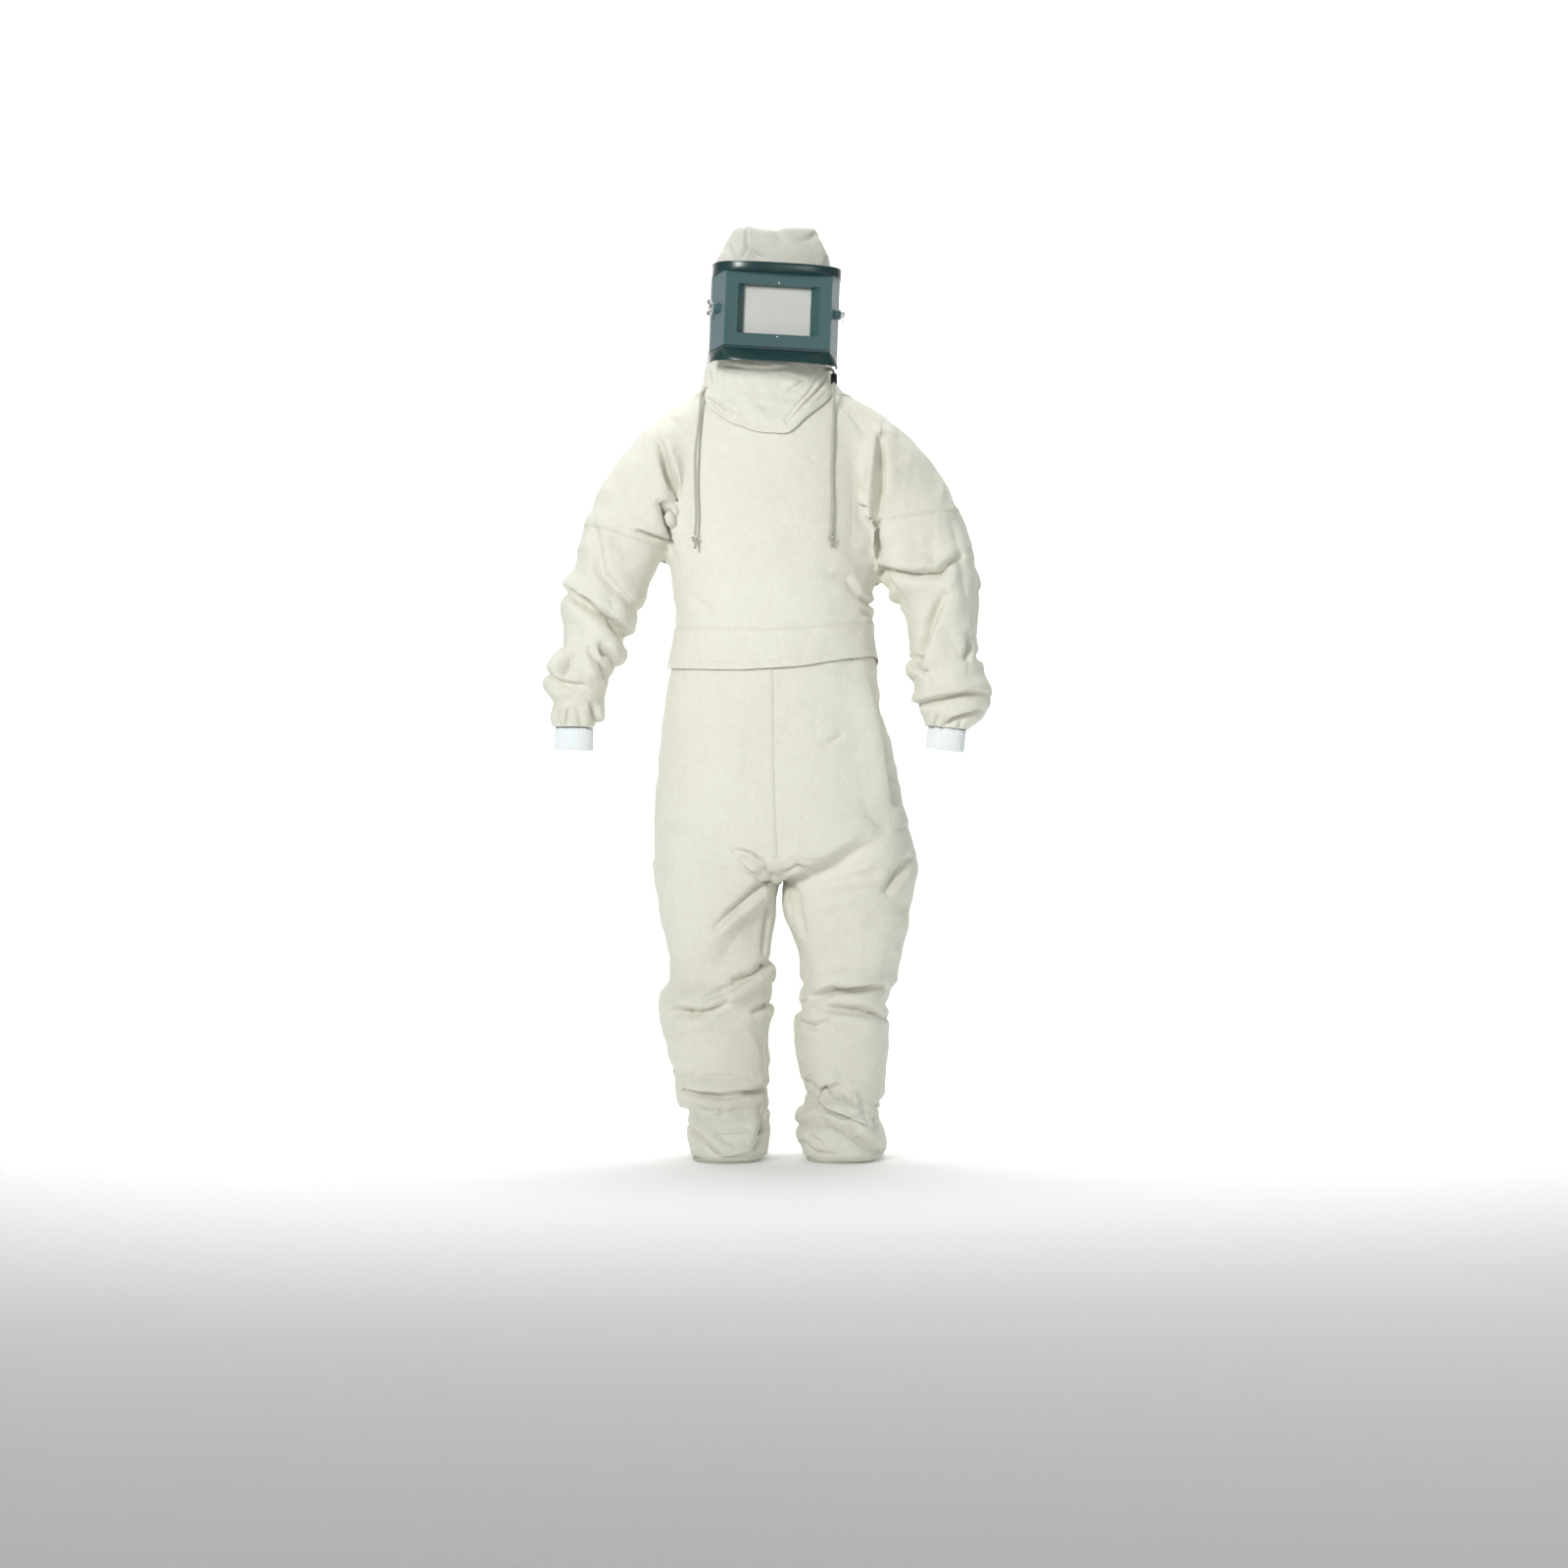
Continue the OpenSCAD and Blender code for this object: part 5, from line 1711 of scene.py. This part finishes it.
# The outline of each trouser front's hem as (x, z) in millimetres, and the seed of its small dents
TONGUES = {
    "left": ([
        (-186, 168), (-160, 108), (-128, 62), (-93, 22), (-74, 15), (-53, 19), (-24, 30), (-12, 66),
        (-4, 108), (4, 168),
    ], 30.0),
    "right": ([
        (86, 168), (98, 128), (118, 104), (152, 92), (186, 78), (202, 70), (210, 92), (226, 128), (230, 168),
    ], 31.0),
}
TONGUE_CREASES = {
    "left": [
        ([(-158, 134), (-80, 126), (0, 137)], 7, 6, 1), ([(-130, 108), (-80, 103), (-20, 112)], 6, 3.5, -1),
        ([(-96, 92), (-84, 96)], 4, 2.5, 1), ([(-92, 62), (-60, 66), (-34, 70)], 6, 3, 1),
        ([(-80, 46), (-60, 38), (-40, 42)], 6, 2, -1),
    ],
    "right": [
        ([(104, 124), (118, 142)], 4, 6, -1), ([(154, 132), (170, 116)], 7, 3, 1),
        ([(128, 92), (150, 88)], 6, 2.5, 1), ([(186, 96), (200, 78)], 5, 4, -1),
    ],
}


def trouser_tongue(side):
    """The front of a trouser leg where it hangs over the boot cover."""
    outline, seed = TONGUES[side]
    line = smooth_line(outline, 2.6)
    trees = [skin_tree, boot_trees[side]]
    columns, rows = len(line), 34
    points = np.zeros((rows, columns, 3))
    for k, (x1, z1) in enumerate(line):
        s = k / (columns - 1)
        top = line[0] + (line[-1] - line[0]) * s
        for i in range(rows):
            t = (i / (rows - 1)) ** 0.9
            x, z = top[0] + (x1 - top[0]) * t, 170 + (z1 - 170) * t
            nearest = front_of(trees, x, z)
            lift = 4.6 * float(smoothstep(166, 120, z)) if z < 166 else 0
            points[i, k] = (x, nearest - lift + (0.8 if z >= 166 else 0), z)
    missing = points[:, :, 1] > NOWHERE / 10
    for row, lost in zip(points, missing):
        if not lost.all():
            row[lost, 1] = np.interp(row[lost, 0], row[~lost, 0], row[~lost, 1])
    draw_taut(points[:, :, 1], 10, 0.2)
    obj = from_arrays("trouser_front_" + side, (points * MM).reshape(-1, 3), grid_faces(rows, columns))
    face_front(obj)
    subdivide(obj)
    relax(obj, np.full(len(obj.data.vertices), 0.6), 6)
    co = rumple(get_co(obj.data), get_normals(obj.data), np.full(len(obj.data.vertices), 0.0022), 20.0, seed)
    set_co(obj.data, co)
    set_co(obj.data, press_creases(co, get_normals(obj.data), TONGUE_CREASES[side], True))
    thicken(obj, 0.0014)
    dress(obj, CANVAS)


trouser_tongue("left")
trouser_tongue("right")

# ---------------------------------------------------------------- soles, sweatband, hardware


def boot_sole(side):
    """A flat sewn sole of coarse cloth, with rounded edges, under a boot cover."""
    low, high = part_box("boot_sole_" + side)
    x = (low.x + high.x) / 2 * 1000
    rows = [(0.3, -15), (1.0, -13.6), (2.0, -12.6), (5.0, -11.5), (7.4, -12), (7.9, -13)]
    verts = []
    for z, grow in rows:
        for k in range(120):
            a = 2 * math.pi * k / 120
            y, r = (-75, 79) if math.sin(a) < 0 else (68, 62)
            verts.append((x + (r + grow) * math.cos(a), y + (r + grow) * math.sin(a), z))
    obj = from_arrays("sole_cloth_" + side, np.array(verts) * MM, tube_faces(len(rows), 120))
    finish_mesh(obj)
    dress(obj, SOLE)
    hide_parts("boot_sole_" + side)


boot_sole("left")
boot_sole("right")


def build_sweatband():
    """A padded strip along the inside of the headband's front."""
    rx, ry, cy, cz, height = 84 - 3.0, 96 - 3.0, 142.0, 34.0, 30.0
    verts = []
    columns, section = 60, 16
    for k in range(columns + 1):
        s = -1 + 2 * k / columns
        a = math.radians(-90 + 38 * s)
        thin = 1 - 0.75 * abs(s) ** 6
        for i in range(section):
            b = 2 * math.pi * i / section
            quilt = 1 + 0.10 * math.cos(k * math.pi / 5)
            depth = 2.6 * thin * quilt * math.copysign(abs(math.cos(b)) ** 0.8, math.cos(b))
            up = height / 2 * (0.9 + 0.1 * thin) * math.copysign(abs(math.sin(b)) ** 0.55, math.sin(b))
            verts.append(((rx - 3.1 - depth) * math.cos(a), cy + (ry - 3.1 - depth) * math.sin(a), cz + up))
    obj = from_arrays("sweatband_pad", np.array(verts) * MM, tube_faces(columns + 1, section))
    finish_mesh(obj)
    into_head(obj)
    subdivide(obj)
    dress(obj, FOAM)
    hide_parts("sweatband")


build_sweatband()

FINISH = {
    "headband": (BLACK, 0.0006), "crown_strap": (BLACK, 0.0003), "band_knob": (BLACK, 0.0006),
    "pivot_stud_left": (STEEL, 0.0004), "pivot_stud_right": (STEEL, 0.0004), "washers": (STEEL, 0.0002),
    "wing_nut_left": (BRIGHT, 0.0004), "wing_nut_right": (BRIGHT, 0.0004), "frame_screws": (STEEL, 0.0002),
    "window_gasket": (RUBBER, 0.0003), "window_glass": (GLASS, 0.0002), "window_frame": (VISOR_GREEN, 0.0004),
    "eyelet_left": (STEEL, 0), "eyelet_right": (STEEL, 0), "cord_lock": (BLACK, 0.0008),
}
for name, (material, width) in FINISH.items():
    node = cad(name)
    if node.material_slots:
        for place in node.material_slots:
            place.material = material
    else:
        node.data.materials.append(material)
    if width:
        bevel(node, width, 35, 2)

# ---------------------------------------------------------------- floor and light

def floor():
    """A pale floor that curves up into a plain backdrop."""
    profile = [(y, 0.0) for y in (-9.0, -4.0, 0.0, 3.0)]
    for i in range(13):
        a = math.radians(90 * i / 12)
        profile.append((3.0 + 2.5 * math.sin(a), 2.5 - 2.5 * math.cos(a)))
    profile.append((5.5, 9.0))
    verts = [(x, y, z) for y, z in profile for x in (-12.0, 12.0)]
    faces = [(2 * i, 2 * i + 1, 2 * i + 3, 2 * i + 2) for i in range(len(profile) - 1)]
    obj = from_arrays("backdrop", verts, faces)
    material, shader = new_material("backdrop", (0.92, 0.92, 0.92), 0.9)
    shader.inputs["Emission Color"].default_value = (1, 1, 1, 1)
    shader.inputs["Emission Strength"].default_value = 0.10
    obj.data.materials.append(material)


def area_light(name, place, target, size, power, spread=180):
    """A soft square light aimed at a point."""
    data = bpy.data.lights.new(name, "AREA")
    data.size = size
    data.energy = power
    data.spread = math.radians(spread)
    obj = bpy.data.objects.new(name, data)
    obj.location = place
    obj.rotation_euler = (Vector(target) - Vector(place)).to_track_quat("-Z", "Y").to_euler()
    bpy.context.collection.objects.link(obj)


floor()
area_light("key", (-2.2, -4.3, 2.8), (0, 0, 1.22), 1.2, 12.9, spread=48)
area_light("fill", (2.6, -5.0, 2.2), (0, 0, 1.15), 2.2, 5.5, spread=60)
area_light("backdrop", (0, 1.8, 5.2), (0, 5.2, 1.2), 4.0, 330)
world = bpy.data.worlds.new("world")
bpy.context.scene.world = world
world.use_nodes = True
world.node_tree.nodes["Background"].inputs["Color"].default_value = (0.985, 0.985, 0.98, 1)
world.node_tree.nodes["Background"].inputs["Strength"].default_value = 0.27
bpy.context.scene.view_settings.view_transform = "Standard"
